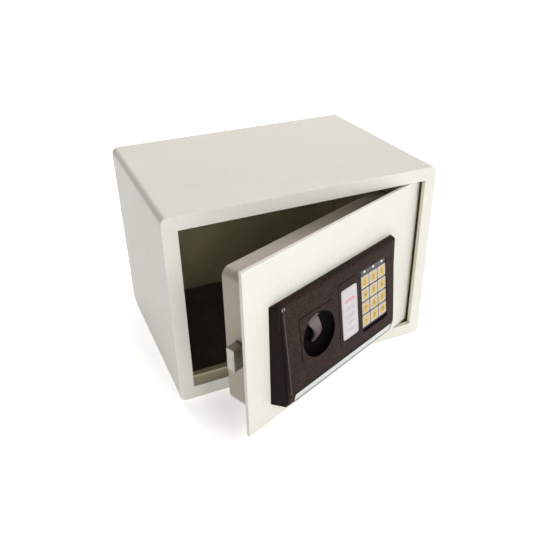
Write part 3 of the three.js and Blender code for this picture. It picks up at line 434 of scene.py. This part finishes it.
def circuit_board():
    """Green board with a brick pattern of paler, slightly raised tracks."""
    paint = Paint("circuit_board", 0.35)
    trace = paint.tree.nodes.new("ShaderNodeTexBrick")
    paint.link(paint.door_place(), trace.inputs["Vector"])
    trace.inputs["Scale"].default_value = 90.0
    trace.inputs["Mortar Size"].default_value = 0.03
    line = trace.outputs["Fac"]
    tone = paint.mix(paint.noise(200.0, 3.0), (0.012, 0.085, 0.035), (0.02, 0.13, 0.055))
    paint.color(paint.mix(paint.both(line, 0.5), tone, (0.04, 0.21, 0.10)))
    paint.bump(line, 0.00004, 0.5)
    return paint


def base_color_of(paint):
    return paint.shader.inputs["Base Color"].links[0].from_socket


def knob_radius(paint):
    """Distance from the knob's axis, and the two parts of it along the door and up."""
    place = paint.door_parts()
    across = paint.math("SUBTRACT", place["X"], PLATE_LEFT + KNOB_S * MM)
    high = paint.math("SUBTRACT", place["Z"], KNOB_Z * MM)
    squares = paint.math("ADD", paint.both(across, across), paint.both(high, high))
    return paint.math("SQRT", squares), across, high


# Deep in the knob's dish and in the hole round it hardly any light comes back.
HOLLOW_COLOR = (0.0024, 0.0015, 0.0013)

# Along the door in millimetres: where the drafted left wall with its painted shade ends, the
# painted highlight along the left edge of the face, and the two small painted highlights in its
# top corner. The heights are in metres.
WALL_END = (44.6, 45.4)
EDGE_HIGHLIGHT = (46.1, 47.3)
CORNER_GLINTS = ((44.4, 45.6), (47.6, 49.0))
EDGE_HIGHLIGHT_HEIGHTS = (0.062, 0.1725)
CORNER_GLINT_HEIGHTS = (0.1690, 0.1722)


def panel_paint():
    """Black-brown moulding: painted shade on the left wall and bore, painted highlights on the
    left edge.
    """
    paint = moulded(
        "panel_plastic", (0.0135, 0.0060, 0.0046), (0.112, 0.062, 0.051), 0.44,
        900.0, 0.00006, 0.07,
    )
    place = paint.door_parts()
    # Painted shade on the drafted left wall.
    wall_shade = paint.spread(place["X"], *scaled(WALL_END, PLATE_LEFT), 1.0, 0.0)
    # Painted highlight along the left edge of the face.
    edge_highlight = paint.both(
        paint.band(place["X"], *scaled(EDGE_HIGHLIGHT, PLATE_LEFT), 0.0003),
        paint.band(place["Z"], *EDGE_HIGHLIGHT_HEIGHTS),
    )
    # Two small painted highlights in the face's top corner.
    corner_glints = paint.either(
        *(paint.band(place["X"], *scaled(glint, PLATE_LEFT), 0.0003) for glint in CORNER_GLINTS)
    )
    corner_glints = paint.both(corner_glints, paint.band(place["Z"], *CORNER_GLINT_HEIGHTS, 0.0004))
    # Painted shade on the bore round the knob.
    radius = knob_radius(paint)[0]
    bore_shade = paint.spread(radius, (KNOB_HOLE + 0.3) * MM, (KNOB_HOLE + 0.7) * MM, 1.0, 0.0)
    tone = paint.mix(paint.both(wall_shade, 0.72), base_color_of(paint), (0.004, 0.0022, 0.0018))
    tone = paint.mix(paint.both(edge_highlight, 0.7), tone, (0.11, 0.085, 0.078))
    tone = paint.mix(paint.both(corner_glints, 0.6), tone, (0.50, 0.45, 0.45))
    paint.color(paint.mix(bore_shade, tone, HOLLOW_COLOR))
    return paint


# The knob's painted light and shade, in millimetres from its axis: the rim's painted shade, the
# end of the grip that crosses it, and the height over which the grip's painted highlight grows.
RIM_SHADE = (23.4, 24.4)
GRIP_END_ACROSS = (-16, 1)
GRIP_END_UP = (13, 15)
GRIP_HIGHLIGHT_UP = (-4, 16)


def knob_paint():
    """The knob's moulding: a painted highlight towards the top of the grip, painted shade in the
    dull dish.
    """
    paint = moulded(
        "knob_plastic", (0.060, 0.043, 0.041), (0.100, 0.075, 0.072), 0.34,
        1100.0, 0.00002, 0.09,
    )
    # Painted shade deep in the dish and on its rim, except where the grip crosses it.
    dish = paint.spread(paint.door_parts()["Y"], FRONT - 11.8 * MM, FRONT - 9.6 * MM)
    radius, across, high = knob_radius(paint)
    grip_end = paint.both(
        paint.band(across, *scaled(GRIP_END_ACROSS)), paint.spread(high, *scaled(GRIP_END_UP))
    )
    rim = paint.spread(radius, *scaled(RIM_SHADE))
    hollow = paint.either(dish, paint.both(rim, paint.math("SUBTRACT", 1.0, grip_end)))
    # Painted highlight growing towards the top of the grip.
    grip_highlight = paint.spread(high, *scaled(GRIP_HIGHLIGHT_UP), 0.0, 0.78)
    tone = paint.mix(grip_highlight, base_color_of(paint), (0.18, 0.14, 0.142))
    paint.color(paint.mix(hollow, tone, HOLLOW_COLOR))
    paint.rough(paint.spread(hollow, 0.0, 1.0, 0.32, 0.75))
    return paint


# The strip inside its dark border line, in millimetres along the door and up.
STRIP_ALONG = (52.5, 237.5)
STRIP_UP = (50.2, 60.3)


def strip_paint():
    """Satin anodised strip with a fine dark line round it."""
    paint = metal("strip_metal", (0.525, 0.55, 0.533), 0.34, (1, 1, 60), 0.1)
    paint.set("Metallic", 0.12)
    place = paint.door_parts()
    within = paint.both(
        paint.band(place["Z"], *scaled(STRIP_UP), 0.00015),
        paint.band(place["X"], *scaled(STRIP_ALONG, PLATE_LEFT), 0.00015),
    )
    paint.color(paint.mix(within, (0.035, 0.045, 0.042), base_color_of(paint)))
    return paint


IVORY = (0.685, 0.672, 0.610)
IVORY_DARK = (0.662, 0.646, 0.582)
# Colour painted on the cabinet's inner faces as their shade.
INSIDE_SHADE = (0.54, 0.488, 0.29)

cabinet_paint = powder_coat("powder_coat_ivory", IVORY, IVORY_DARK, 0.46, INSIDE_SHADE)
door_paint = powder_coat("powder_coat_door", IVORY, IVORY_DARK, 0.46)
inner_paint = powder_coat(
    "powder_coat_grey_beige", (0.425, 0.362, 0.292), (0.385, 0.327, 0.26), 0.5
)
panel_plastic = panel_paint()
knob_plastic = knob_paint()
bezel_plastic = moulded("bezel_plastic", (0.045, 0.055, 0.085), (0.065, 0.075, 0.11), 0.42)
lamp_strip = moulded("lamp_strip_plastic", (0.055, 0.055, 0.065), (0.08, 0.08, 0.09), 0.38)
black_plastic = moulded("black_plastic", (0.018, 0.018, 0.019), (0.032, 0.032, 0.034), 0.48)
key_plastic = moulded(
    "key_cream", (0.475, 0.42, 0.365), (0.55, 0.495, 0.435), 0.38, 1300.0, 0.00001
)
key_gold = moulded(
    "key_gold_print", (0.50, 0.35, 0.085), (0.66, 0.48, 0.15), 0.34, 1800.0, 0.00001
)
digit_ink = moulded(
    "key_digit_ink", (0.15, 0.082, 0.016), (0.20, 0.115, 0.028), 0.4, 1800.0, 0.00001
)
lamp_lens = moulded("lamp_lens", (0.86, 0.87, 0.86), (0.92, 0.92, 0.91), 0.2, 900.0, 0.00001)
reset_plastic = moulded("reset_red", (0.42, 0.018, 0.012), (0.52, 0.03, 0.02), 0.3)
coil_case = moulded("coil_case", (0.02, 0.022, 0.026), (0.035, 0.037, 0.042), 0.42)
lead_grey = moulded("lead_grey", (0.22, 0.22, 0.215), (0.28, 0.28, 0.27), 0.5, 700.0)
lead_red = moulded("lead_red", (0.22, 0.008, 0.008), (0.3, 0.015, 0.012), 0.5, 700.0)
rubber = moulded(
    "buffer_rubber", (0.016, 0.0145, 0.013), (0.03, 0.027, 0.025), 0.75, 900.0, 0.00005
)
zinc = metal("zinc_plate", (0.62, 0.62, 0.60), 0.34)
bolt_steel = metal("bolt_steel", (0.43, 0.405, 0.36), 0.30, (40, 40, 1), 0.6)
brass = metal("brass", (0.66, 0.47, 0.20), 0.3, (1, 1, 30))
strip_metal = strip_paint()
felt_mat = felt()
label = cover_label()
cell = printed_cell()
board = circuit_board()

# What each material slot of the CAD record wears.
SLOT_PAINT = {
    "cabinet_paint": cabinet_paint,
    "door_inner_paint": inner_paint,
    "floor_felt": felt_mat,
    "zinc_plate": zinc,
    "bolt_steel": bolt_steel,
    "brass": brass,
    "buffer_rubber": rubber,
    "panel_plastic": panel_plastic,
    "knob_plastic": knob_plastic,
    "trim_metal": strip_metal,
    "cover_pad_white": label,
    "bezel_plastic": bezel_plastic,
    "lamp_lens": lamp_lens,
    "key_plastic": key_plastic,
    "board_green": board,
    "solenoid_case": coil_case,
    "black_plastic": black_plastic,
    "cell_wrap": cell,
    "lead_grey": lead_grey,
    "lead_red": lead_red,
    "reset_red": reset_plastic,
}


def wear(thing, paint):
    thing.data.materials.clear()
    thing.data.materials.append(paint.material)


slot_of = {row["node"]: row["material_slot"] for row in frame["record"]["subparts"]}
body_of = {}
for body_name, names in frame["record"]["behaviour"]["bodies"].items():
    for node_name in names:
        body_of[node_name] = body_name
for node_name, thing in nodes.items():
    wear(thing, SLOT_PAINT[slot_of[node_name]])
wear(nodes["indicator_strip"], lamp_strip)


# ---------------------------------------------------------------- mesh work
def to_mesh(work, name):
    mesh = bpy.data.meshes.new(name)
    work.to_mesh(mesh)
    work.free()
    return mesh


def to_object(data, name):
    thing = bpy.data.objects.new(name, data)
    scene.collection.objects.link(thing)
    return thing


def new_object(name, mesh, paint, body, smooth):
    """A piece that rides on a body, smooth up to the given angle in degrees."""
    thing = to_object(mesh, name)
    wear(thing, paint)
    for polygon in mesh.polygons:
        polygon.use_smooth = True
    mesh.set_sharp_from_angle(angle=math.radians(smooth))
    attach(thing, body)
    return thing


def weighted(thing):
    modifier = thing.modifiers.new("weighted_normal", "WEIGHTED_NORMAL")
    modifier.keep_sharp = True
    modifier.weight = 80


def round_edges(work, edges, width, segments):
    bmesh.ops.bevel(
        work, geom=edges, offset=width, segments=segments, profile=0.5, affect="EDGES",
        clamp_overlap=True, miter_outer="ARC",
    )
    bmesh.ops.recalc_face_normals(work, faces=work.faces)


def eased(node_name, width, chosen=None, smooth=40, angle=22):
    """A CAD node again with its flat faces merged and its chosen sharp edges rounded."""
    source = nodes[node_name]
    work = bmesh.new()
    work.from_mesh(source.data)
    bmesh.ops.remove_doubles(work, verts=work.verts, dist=2e-6)
    bmesh.ops.dissolve_limit(
        work, angle_limit=math.radians(1.0), verts=work.verts, edges=work.edges,
        delimit={"NORMAL"},
    )
    sharp = []
    for edge in work.edges:
        if len(edge.link_faces) != 2 or edge.calc_face_angle(0.0) < math.radians(angle):
            continue
        middle = (edge.verts[0].co + edge.verts[1].co) / 2
        if chosen is None or chosen(middle):
            sharp.append(edge)
    round_edges(work, sharp, width, 3)
    slot = slot_of[node_name]
    thing = new_object(
        node_name + "_finished", to_mesh(work, node_name + "_eased"), SLOT_PAINT[slot],
        body_of[node_name], smooth,
    )
    weighted(thing)
    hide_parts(node_name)
    return thing


def near(value, target, within=0.0004):
    return abs(value - target) < within


# Cabinet: the face's outer rim and the fold round the opening are rounded, and the welded
# seams stay tight.
eased("front_frame", 0.0011, lambda middle: near(middle.y, FRONT))
eased("cabinet_wrap", 0.0006, lambda middle: near(middle.y, BACK))
eased(
    "back_panel", 0.0004,
    lambda middle: near(middle.y, BACK) and near(abs(middle.x), 0.1, within=0.007),
)
eased("floor_mat", 0.0006)
for node_name in ("hinge_bracket_lower", "hinge_bracket_upper"):
    eased(node_name, 0.0005)
for node_name in ("hinge_pin_lower", "hinge_pin_upper", "hinge_bush_lower", "hinge_bush_upper"):
    eased(node_name, 0.0003, angle=30)

# Door shell: the plate's finish has no painted inside shade, wherever its swing takes it.
wear(eased("door_plate", 0.0007), door_paint)


PAN_BACK, PAN_FRONT = -0.0795, -0.1202


def pan_edge(middle):
    """The pan's edges at its back and next to the plate, on the shut door."""
    place = DOOR_BACK @ middle
    return place.y > PAN_BACK or place.y < PAN_FRONT


eased("door_pan", 0.0012, pan_edge)
eased("inner_cover", 0.0004)
for node_name in ("cover_screw_1", "cover_screw_2", "door_buffer"):
    eased(node_name, 0.00025, angle=30)
eased("lock_bolt", 0.0009)
eased("battery_cover", 0.0005)
eased("reset_button", 0.0004, angle=30)


# ---------------------------------------------------------------- lock panel
def hull(points):
    """Convex solid round the points, with flat faces merged."""
    work = bmesh.new()
    for point in points:
        work.verts.new(point)
    bmesh.ops.convex_hull(work, input=work.verts)
    loose = [vertex for vertex in work.verts if not vertex.link_faces]
    bmesh.ops.delete(work, geom=loose, context="VERTS")
    bmesh.ops.dissolve_limit(
        work, angle_limit=math.radians(0.5), verts=work.verts, edges=work.edges
    )
    return work


def rounded_hull(points, width, segments, skip=None):
    work = hull(points)
    edges = [
        edge for edge in work.edges
        if edge.calc_face_angle(0.0) > math.radians(4)
        and not (skip and skip((edge.verts[0].co + edge.verts[1].co) / 2))
    ]
    round_edges(work, edges, width, segments)
    return work


def skirt_points():
    """The drafted wall round the panel, from just off the plate to the outer rim."""
    points = []
    for z in (PANEL_BOTTOM, PANEL_TOP):
        out = rim_out(z)
        draft = RIM_DRAFT * out
        points += [shut(PANEL_LEFT, 0.3, z), shut(PANEL_RIGHT, 0.3, z)]
        points += [shut(PANEL_LEFT + draft, out, z), shut(PANEL_RIGHT - draft, out, z)]
    return points


def face_points():
    """The raised body inside the rim: the leaning face, and the chin that stands under it."""
    points = []
    for z in (PANEL_BOTTOM + 1, PANEL_TOP - 1):
        draft = RIM_DRAFT * rim_out(z) + 2.2
        for out in (rim_out(z) - 3, rim_out(z)):
            points += [shut(PANEL_LEFT + draft, out, z), shut(PANEL_RIGHT - draft, out, z)]
    for z in (FACE_BOTTOM, FACE_TOP):
        points += [shut(FACE_LEFT, face_out(z), z), shut(FACE_RIGHT, face_out(z), z)]
    points += [shut(FACE_LEFT, CHIN_OUT, CHIN_BOTTOM), shut(FACE_RIGHT, CHIN_OUT, CHIN_BOTTOM)]
    return points


def combine(base, others, operation):
    """Join the others to the base or cut them out of it, and remove them."""
    for other in others:
        modifier = base.modifiers.new("combine", "BOOLEAN")
        modifier.operation = operation
        modifier.solver = "MANIFOLD"
        modifier.object = other
    bpy.context.view_layer.update()
    graph = bpy.context.evaluated_depsgraph_get()
    made = bpy.data.meshes.new_from_object(base.evaluated_get(graph))
    base.modifiers.clear()
    old = base.data
    base.data = made
    bpy.data.meshes.remove(old)
    for other in others:
        mesh = other.data
        bpy.data.objects.remove(other)
        bpy.data.meshes.remove(mesh)


def ring(width, height, radius, segments=5):
    """Corner-rounded outline in local x and y."""
    points = []
    for side_x, side_y, start in ((1, 1, 0), (-1, 1, 90), (-1, -1, 180), (1, -1, 270)):
        centre_x = side_x * (width / 2 - radius)
        centre_y = side_y * (height / 2 - radius)
        for step in range(segments + 1):
            angle = math.radians(start + 90 * step / segments)
            points.append(
                (centre_x + radius * math.cos(angle), centre_y + radius * math.sin(angle))
            )
    return points


def circle(radius, segments):
    """Round outline in local x and y."""
    angles = [2 * math.pi * i / segments for i in range(segments)]
    return [(radius * math.cos(angle), radius * math.sin(angle)) for angle in angles]


def bridge(work, rows):
    """Faces between each row of vertices and the next."""
    count = len(rows[0])
    for low, high in zip(rows, rows[1:]):
        for i in range(count):
            j = (i + 1) % count
            work.faces.new((low[i], low[j], high[j], high[i]))


def lofted(levels, place):
    """Closed solid through outlines [(points, height)] with the same count, in millimetres."""
    work = bmesh.new()
    rows = [
        [work.verts.new(place @ Vector((x * MM, y * MM, height * MM))) for x, y in points]
        for points, height in levels
    ]
    bridge(work, rows)
    work.faces.new(list(reversed(rows[0])))
    work.faces.new(rows[-1])
    bmesh.ops.recalc_face_normals(work, faces=work.faces)
    return work


def flared(outline, place, depth, flare, top):
    """Cutting solid whose mouth opens by flare, for a rounded lip."""
    levels = [(outline(0), -depth), (outline(0), -flare)]
    for step in (0.35, 0.7, 1.0):
        grow = flare * (1 - math.cos(step * math.pi / 2))
        levels.append((outline(grow), -flare + flare * math.sin(step * math.pi / 2)))
    levels.append((outline(flare), top))
    return lofted(levels, place)


def cutter(name, outline, place, *, depth, flare, top):
    return to_object(to_mesh(flared(outline, place, depth, flare, top), name), name)


def grooves(left, bottom, top, right_end):
    """A down stroke and a stroke across the top, pressed into the leaning face."""
    rise = (top - bottom) / math.cos(FACE_TILT)
    run = right_end - left
    half = GROOVE_WIDTH / 2 - 0.025

    def upright(grow):
        return ring(GROOVE_WIDTH + 2 * grow, rise + 2 * grow, half + grow, 3)

    def across(grow):
        return ring(run + 2 * grow, GROOVE_WIDTH + 2 * grow, half + grow, 3)

    side = face_frame(left, (top + bottom) / 2)
    head = face_frame((left + right_end) / 2, top)
    return [
        cutter("cut_groove_upright", upright, side, depth=0.95, flare=0.2, top=3),
        cutter("cut_groove_across", across, head, depth=0.95, flare=0.2, top=3),
    ]


def panel_piece():
    """The lock housing: the drafted skirt and the leaning face, with its openings cut."""
    skirt = rounded_hull(skirt_points(), 0.0009, 3, lambda middle: middle.y > FRONT - 0.001)
    face = rounded_hull(face_points(), 0.0012, 4)
    body = to_object(to_mesh(skirt, "panel_finished"), "panel_finished")
    face = to_object(to_mesh(face, "panel_face_body"), "panel_face_body")
    for thing in (body, face):
        thing.data.transform(DOOR)
    combine(body, [face], "UNION")

    def hole(grow):
        return circle(KNOB_HOLE + grow, 96)

    def window(grow):
        return ring(WINDOW_WIDTH + 2 * grow, WINDOW_HEIGHT + 2 * grow, 1.5 + grow)

    def pad(grow):
        return ring(PAD_WIDTH + 2 * grow, PAD_HEIGHT + 2 * grow, 3.2 + grow)

    straight = flat_frame(KNOB_S, KNOB_Z, face_out(KNOB_Z))
    knob_face = face_frame(KNOB_S, KNOB_Z)
    window_face = face_frame(WINDOW_S, WINDOW_Z)
    tools = [
        cutter("cut_knob", hole, straight, depth=15.4, flare=0.01, top=12),
        cutter("cut_knob_lip", hole, knob_face, depth=0.9, flare=0.9, top=4),
        cutter("cut_keypad", window, window_face, depth=9.0, flare=0.5, top=6),
        cutter("cut_pad", pad, face_frame(PAD_S, PAD_Z), depth=0.9, flare=0.35, top=6),
    ]
    tools += grooves(left=68.2, bottom=87.5, top=148.2, right_end=124.5)
    tools += grooves(left=135.4, bottom=77.0, top=159.6, right_end=169.2)
    combine(body, tools, "DIFFERENCE")
    mesh = body.data
    bpy.data.objects.remove(body)
    thing = new_object("panel_finished", mesh, panel_plastic, "door", 32)
    weighted(thing)
    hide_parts("panel_housing")


panel_piece()

# Trim strip on the chin, the plate over the key lock, and the strip round the lamps.
eased("trim_strip", 0.0003)
eased("key_cover_pad", 0.0004, smooth=50)
wear(eased("indicator_strip", 0.0002), lamp_strip)


# ---------------------------------------------------------------- knob
# The grip's outline in millimetres from the knob's axis, before the knob's own turn. It runs
# off the top of the dish at both ends.
FINGER_EDGE = [
    (-12, 27), (-8, 16), (-4.8, 9), (-3.8, 2), (-5.6, -3.4), (-9.6, -6),
    (-8.8, -9.2), (-2, -9.8), (5.4, -7.6), (8.8, 0), (8.6, 10), (8, 27),
]


def spline(points, per_span=6):
    """Smooth curve through the points, without its closing side."""
    known = [Vector(p) for p in points]
    known = [known[0]] + known + [known[-1]]
    curve = []
    for p0, p1, p2, p3 in zip(known, known[1:], known[2:], known[3:]):
        v0, v1 = (p2 - p0) / 2, (p3 - p1) / 2
        cubic = 2 * p1 - 2 * p2 + v0 + v1
        square = 3 * p2 - 3 * p1 - 2 * v0 - v1
        for step in range(per_span):
            t = step / per_span
            curve.append(cubic * t ** 3 + square * t * t + v0 * t + p1)
    return curve + [known[-1]]


FINGER_CURVE = spline(FINGER_EDGE)

# A side of the curve longer than this is the open end that closes it.
OPEN_END = 8

# Millimetres: the knob's front and the dish's floor above the plate, the dish's radius and the
# width of its curved wall.
KNOB_FRONT, DISH_FLOOR = 13.3, 3.8
DISH_RADIUS, DISH_WALL = 25.2, 7.0
RIM_START, KNOB_RADIUS = 25.4, 26.4
RING_STEP, RING_COUNT = 0.45, 55

# The grip's hump: its highest point and where it lies up the grip, how flat its arch is, how
# far its shoulders fall and over what width, and how far its sides reach out and how wide.
HUMP_TOP, HUMP_MIDDLE, HUMP_ARCH = 13.6, 4, 110
SHOULDER_FALL, SHOULDER_WIDTH = 1.1, 3.5
SIDE_REACH, SIDE_WIDTH = 0.7, 1.2


def inside_finger(u, v):
    """Distance from the grip's edge, positive within it; its open end doesn't count."""
    point = Vector((u, v))
    nearest = 99.0
    within = False
    for a, b in zip(FINGER_CURVE, FINGER_CURVE[1:] + FINGER_CURVE[:1]):
        if (a.y > v) != (b.y > v) and u < a.x + (b.x - a.x) * (v - a.y) / (b.y - a.y):
            within = not within
        along = b - a
        if along.length > OPEN_END:
            continue
        share = max(0.0, min(1.0, (point - a).dot(along) / along.length_squared))
        nearest = min(nearest, (point - a - along * share).length)
    return nearest if within else -nearest


def knob_height(u, v):
    """Height in millimetres above the door plate of the dish and the humped grip in it."""
    radius = math.hypot(u, v)
    if radius >= DISH_RADIUS:
        return KNOB_FRONT
    share = min(1.0, (DISH_RADIUS - radius) / DISH_WALL)
    fall = math.sqrt(max(0.0, 1 - (1 - share) ** 2))
    dish = KNOB_FRONT - (KNOB_FRONT - DISH_FLOOR) * fall
    depth = inside_finger(u, v)
    if depth < -SIDE_REACH:
        return dish
    shoulder = (1 - min(1.0, max(0.0, depth) / SHOULDER_WIDTH)) ** 2
    hump = HUMP_TOP - (v - HUMP_MIDDLE) ** 2 / HUMP_ARCH - SHOULDER_FALL * shoulder
    rise = min(1.0, (depth + SIDE_REACH) / SIDE_WIDTH)
    return max(dish, dish + (hump - dish) * (rise * rise * (3 - 2 * rise)))


def knob_piece():
    """The knob as rings of vertices from its middle out, then down its side to the back."""
    work = bmesh.new()
    place = flat_frame(KNOB_S, KNOB_Z, 0) @ Matrix.Rotation(KNOB_TURN, 4, "Z")
    count = 200

    def vertex(u, v, height):
        return work.verts.new(place @ Vector((u * MM, v * MM, height * MM)))

    centre = vertex(0, 0, knob_height(0, 0))
    rows = []
    bowl = [RING_STEP * i for i in range(1, RING_COUNT + 1)]
    for radius in bowl + [25.0, DISH_RADIUS, 25.5, 25.9, 26.2]:
        row = []
        for u, v in circle(radius, count):
            height = knob_height(u, v)
            if radius > RIM_START:
                height -= (radius - RIM_START) ** 2 * 0.5
            row.append(vertex(u, v, height))
        rows.append(row)
    for radius, height in ((KNOB_RADIUS, 12.7), (KNOB_RADIUS, 2.4), (26.2, 2.2)):
        rows.append([vertex(u, v, height) for u, v in circle(radius, count)])
    for i in range(count):
        work.faces.new((centre, rows[0][i], rows[0][(i + 1) % count]))
    bridge(work, rows)
    work.faces.new(list(reversed(rows[-1])))
    bmesh.ops.recalc_face_normals(work, faces=work.faces)
    mesh = to_mesh(work, "knob_finished")
    thing = new_object("knob_finished", mesh, knob_plastic, "knob", 60)
    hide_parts("knob")


knob_piece()


# ---------------------------------------------------------------- keys
KEYS = ["1", "2", "3", "4", "5", "6", "7", "8", "9", "star", "0", "hash"]
MARKS = {"star": "*", "hash": "#"}

# Millimetres: the print's sizes, and how far each layer lies below the leaning face.
DISC_RADIUS, DIGIT_HEIGHT = 6.2, 5.6
CAP_DEPTH, DISC_DEPTH, DIGIT_DEPTH, LAMP_DEPTH = 1.0, 0.99, 0.93, 0.75


def digit_mesh(text, height, place):
    """A digit or sign as a thin raised print, of about this height in millimetres."""
    curve = bpy.data.curves.new("digit", "FONT")
    curve.body = text
    curve.size = height * MM * 1.4
    curve.align_x = "CENTER"
    curve.align_y = "CENTER"
    curve.extrude = 0.00004
    curve.offset = 0.00011
    curve.resolution_u = 3
    thing = to_object(curve, "digit")
    bpy.context.view_layer.update()
    graph = bpy.context.evaluated_depsgraph_get()
    made = bpy.data.meshes.new_from_object(thing.evaluated_get(graph))
    bpy.data.objects.remove(thing)
    bpy.data.curves.remove(curve)
    xs = [vertex.co.x for vertex in made.vertices]
    ys = [vertex.co.y for vertex in made.vertices]
    middle = Vector((min(xs) + max(xs), min(ys) + max(ys), 0)) / 2
    made.transform(Matrix.Translation(-middle))
    made.transform(place)
    return made


def disc_mesh(place, radius):
    """Flat disc with a raised rim, printed on the key."""
    profile = (
        (radius, 0.0), (radius, 0.05), (radius - 0.15, 0.09), (radius - 0.75, 0.09),
        (radius - 0.9, 0.06),
    )
    levels = [(circle(across, 40), height) for across, height in profile]
    return to_mesh(lofted(levels, place), "disc")


def key_piece(index, key):
    """Key cap with a crowned top and rounded edges, and its printed disc and mark."""
    column, row = index % 3, index // 3
    s = KEY_S + column * KEY_STEP_S
    z = KEY_Z - row * KEY_STEP_Z
    body = f"key_{key}"
    outline = ring(KEY_SIZE, KEY_SIZE, 1.0)
    levels = [(outline, -2.2), (outline, -0.45)]
    for inset, height in ((0.06, -0.25), (0.2, -0.1), (0.45, -0.02), (0.9, 0.0)):
        size = KEY_SIZE - 2 * inset
        levels.append((ring(size, size, max(0.3, 1.0 - inset)), height))
    cap = to_mesh(lofted(levels, face_frame(s, z, CAP_DEPTH)), "key_cap")
    disc = disc_mesh(face_frame(s, z, DISC_DEPTH), DISC_RADIUS)
    mark = digit_mesh(MARKS.get(key, key), DIGIT_HEIGHT, face_frame(s, z, DIGIT_DEPTH))
    thing = new_object(f"key_{key}_finished", cap, key_plastic, body, 50)
    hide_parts(f"key_{key}")
    new_object(f"key_{key}_disc", disc, key_gold, body, 40)
    new_object(f"key_{key}_digit", mark, digit_ink, body, 40)


for index, key in enumerate(KEYS):
    key_piece(index, key)


def lamp_piece(column):
    """A small rounded window over one lens."""
    outline = ring(3.2, 2.4, 0.8, 4)
    levels = [(outline, -2.0), (outline, -0.2), (ring(2.8, 2.0, 0.6, 4), 0.0)]
    place = face_frame(KEY_S + column * KEY_STEP_S, LAMP_Z, LAMP_DEPTH)
    name = f"lamp_{column + 1}"
    mesh = to_mesh(lofted(levels, place), "lamp")
    thing = new_object(f"{name}_finished", mesh, lamp_lens, "door", 40)
    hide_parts(name)


for column in range(3):
    lamp_piece(column)

# ---------------------------------------------------------------- small bevels on what stays CAD
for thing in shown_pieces():
    if "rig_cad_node" in thing and thing.name != "keypad_bezel":
        modifier = thing.modifiers.new("ease", "BEVEL")
        modifier.width = 0.00025
        modifier.segments = 2
        modifier.limit_method = "ANGLE"
        modifier.angle_limit = math.radians(40)

# ---------------------------------------------------------------- floor and light
def floor_paint():
    """Paper white that glows a little more towards the back."""
    paint = Paint("studio_floor", 0.7)
    cloud = paint.noise(3.0, 3.0, 0.5)
    paint.color(paint.mix(cloud, (0.93, 0.93, 0.93), (0.95, 0.95, 0.95)))
    paint.value(paint.shader.inputs["Emission Color"], (1, 1, 1))
    glow = paint.spread(paint.parts()["Y"], 0.2, 1.5, 0.50, 0.88)
    paint.link(glow, paint.shader.inputs["Emission Strength"])
    return paint


FLOOR_HEIGHT = -0.0002
FLOOR_CORNERS = ((-6, -5), (6, -5), (6, 9), (-6, 9))

work = bmesh.new()
work.faces.new([work.verts.new((x, y, FLOOR_HEIGHT)) for x, y in FLOOR_CORNERS])
floor = to_object(to_mesh(work, "studio_floor"), "studio_floor")
wear(floor, floor_paint())


def area_light(name, place, target, size, power, tint=(1, 1, 1)):
    data = bpy.data.lights.new(name, "AREA")
    data.shape = "RECTANGLE"
    data.size, data.size_y = size
    data.energy = power
    data.color = tint
    thing = to_object(data, name)
    thing.location = place
    thing.rotation_mode = "QUATERNION"
    thing.rotation_quaternion = (Vector(target) - Vector(place)).to_track_quat("-Z", "Y")


area_light("key", (0.55, -2.0, 1.15), (0, 0, 0.12), (1.1, 1.1), 26, (1.0, 0.995, 0.985))
area_light("fill", (-1.1, -1.7, 0.7), (0, 0, 0.1), (1.4, 1.4), 6, (1.0, 0.98, 0.93))
area_light("top", (0.2, 0.7, 1.15), (0, 0.1, 0.2), (1.4, 0.8), 11.2, (1.0, 0.99, 0.96))

# The room's light grows from left to right.
world = bpy.data.worlds.new("studio")
world.use_nodes = True
sky = world.node_tree.nodes["Background"]
sky.inputs["Color"].default_value = (1, 1, 1, 1)
heading = world.node_tree.nodes.new("ShaderNodeTexCoord")
split = world.node_tree.nodes.new("ShaderNodeSeparateXYZ")
level = world.node_tree.nodes.new("ShaderNodeMapRange")
level.inputs["From Min"].default_value = -0.8
level.inputs["From Max"].default_value = 0.8
level.inputs["To Min"].default_value = 0.08
level.inputs["To Max"].default_value = 0.56
world.node_tree.links.new(heading.outputs["Generated"], split.inputs[0])
world.node_tree.links.new(split.outputs["X"], level.inputs["Value"])
world.node_tree.links.new(level.outputs["Result"], sky.inputs["Strength"])
scene.world = world
scene.view_settings.view_transform = "Standard"
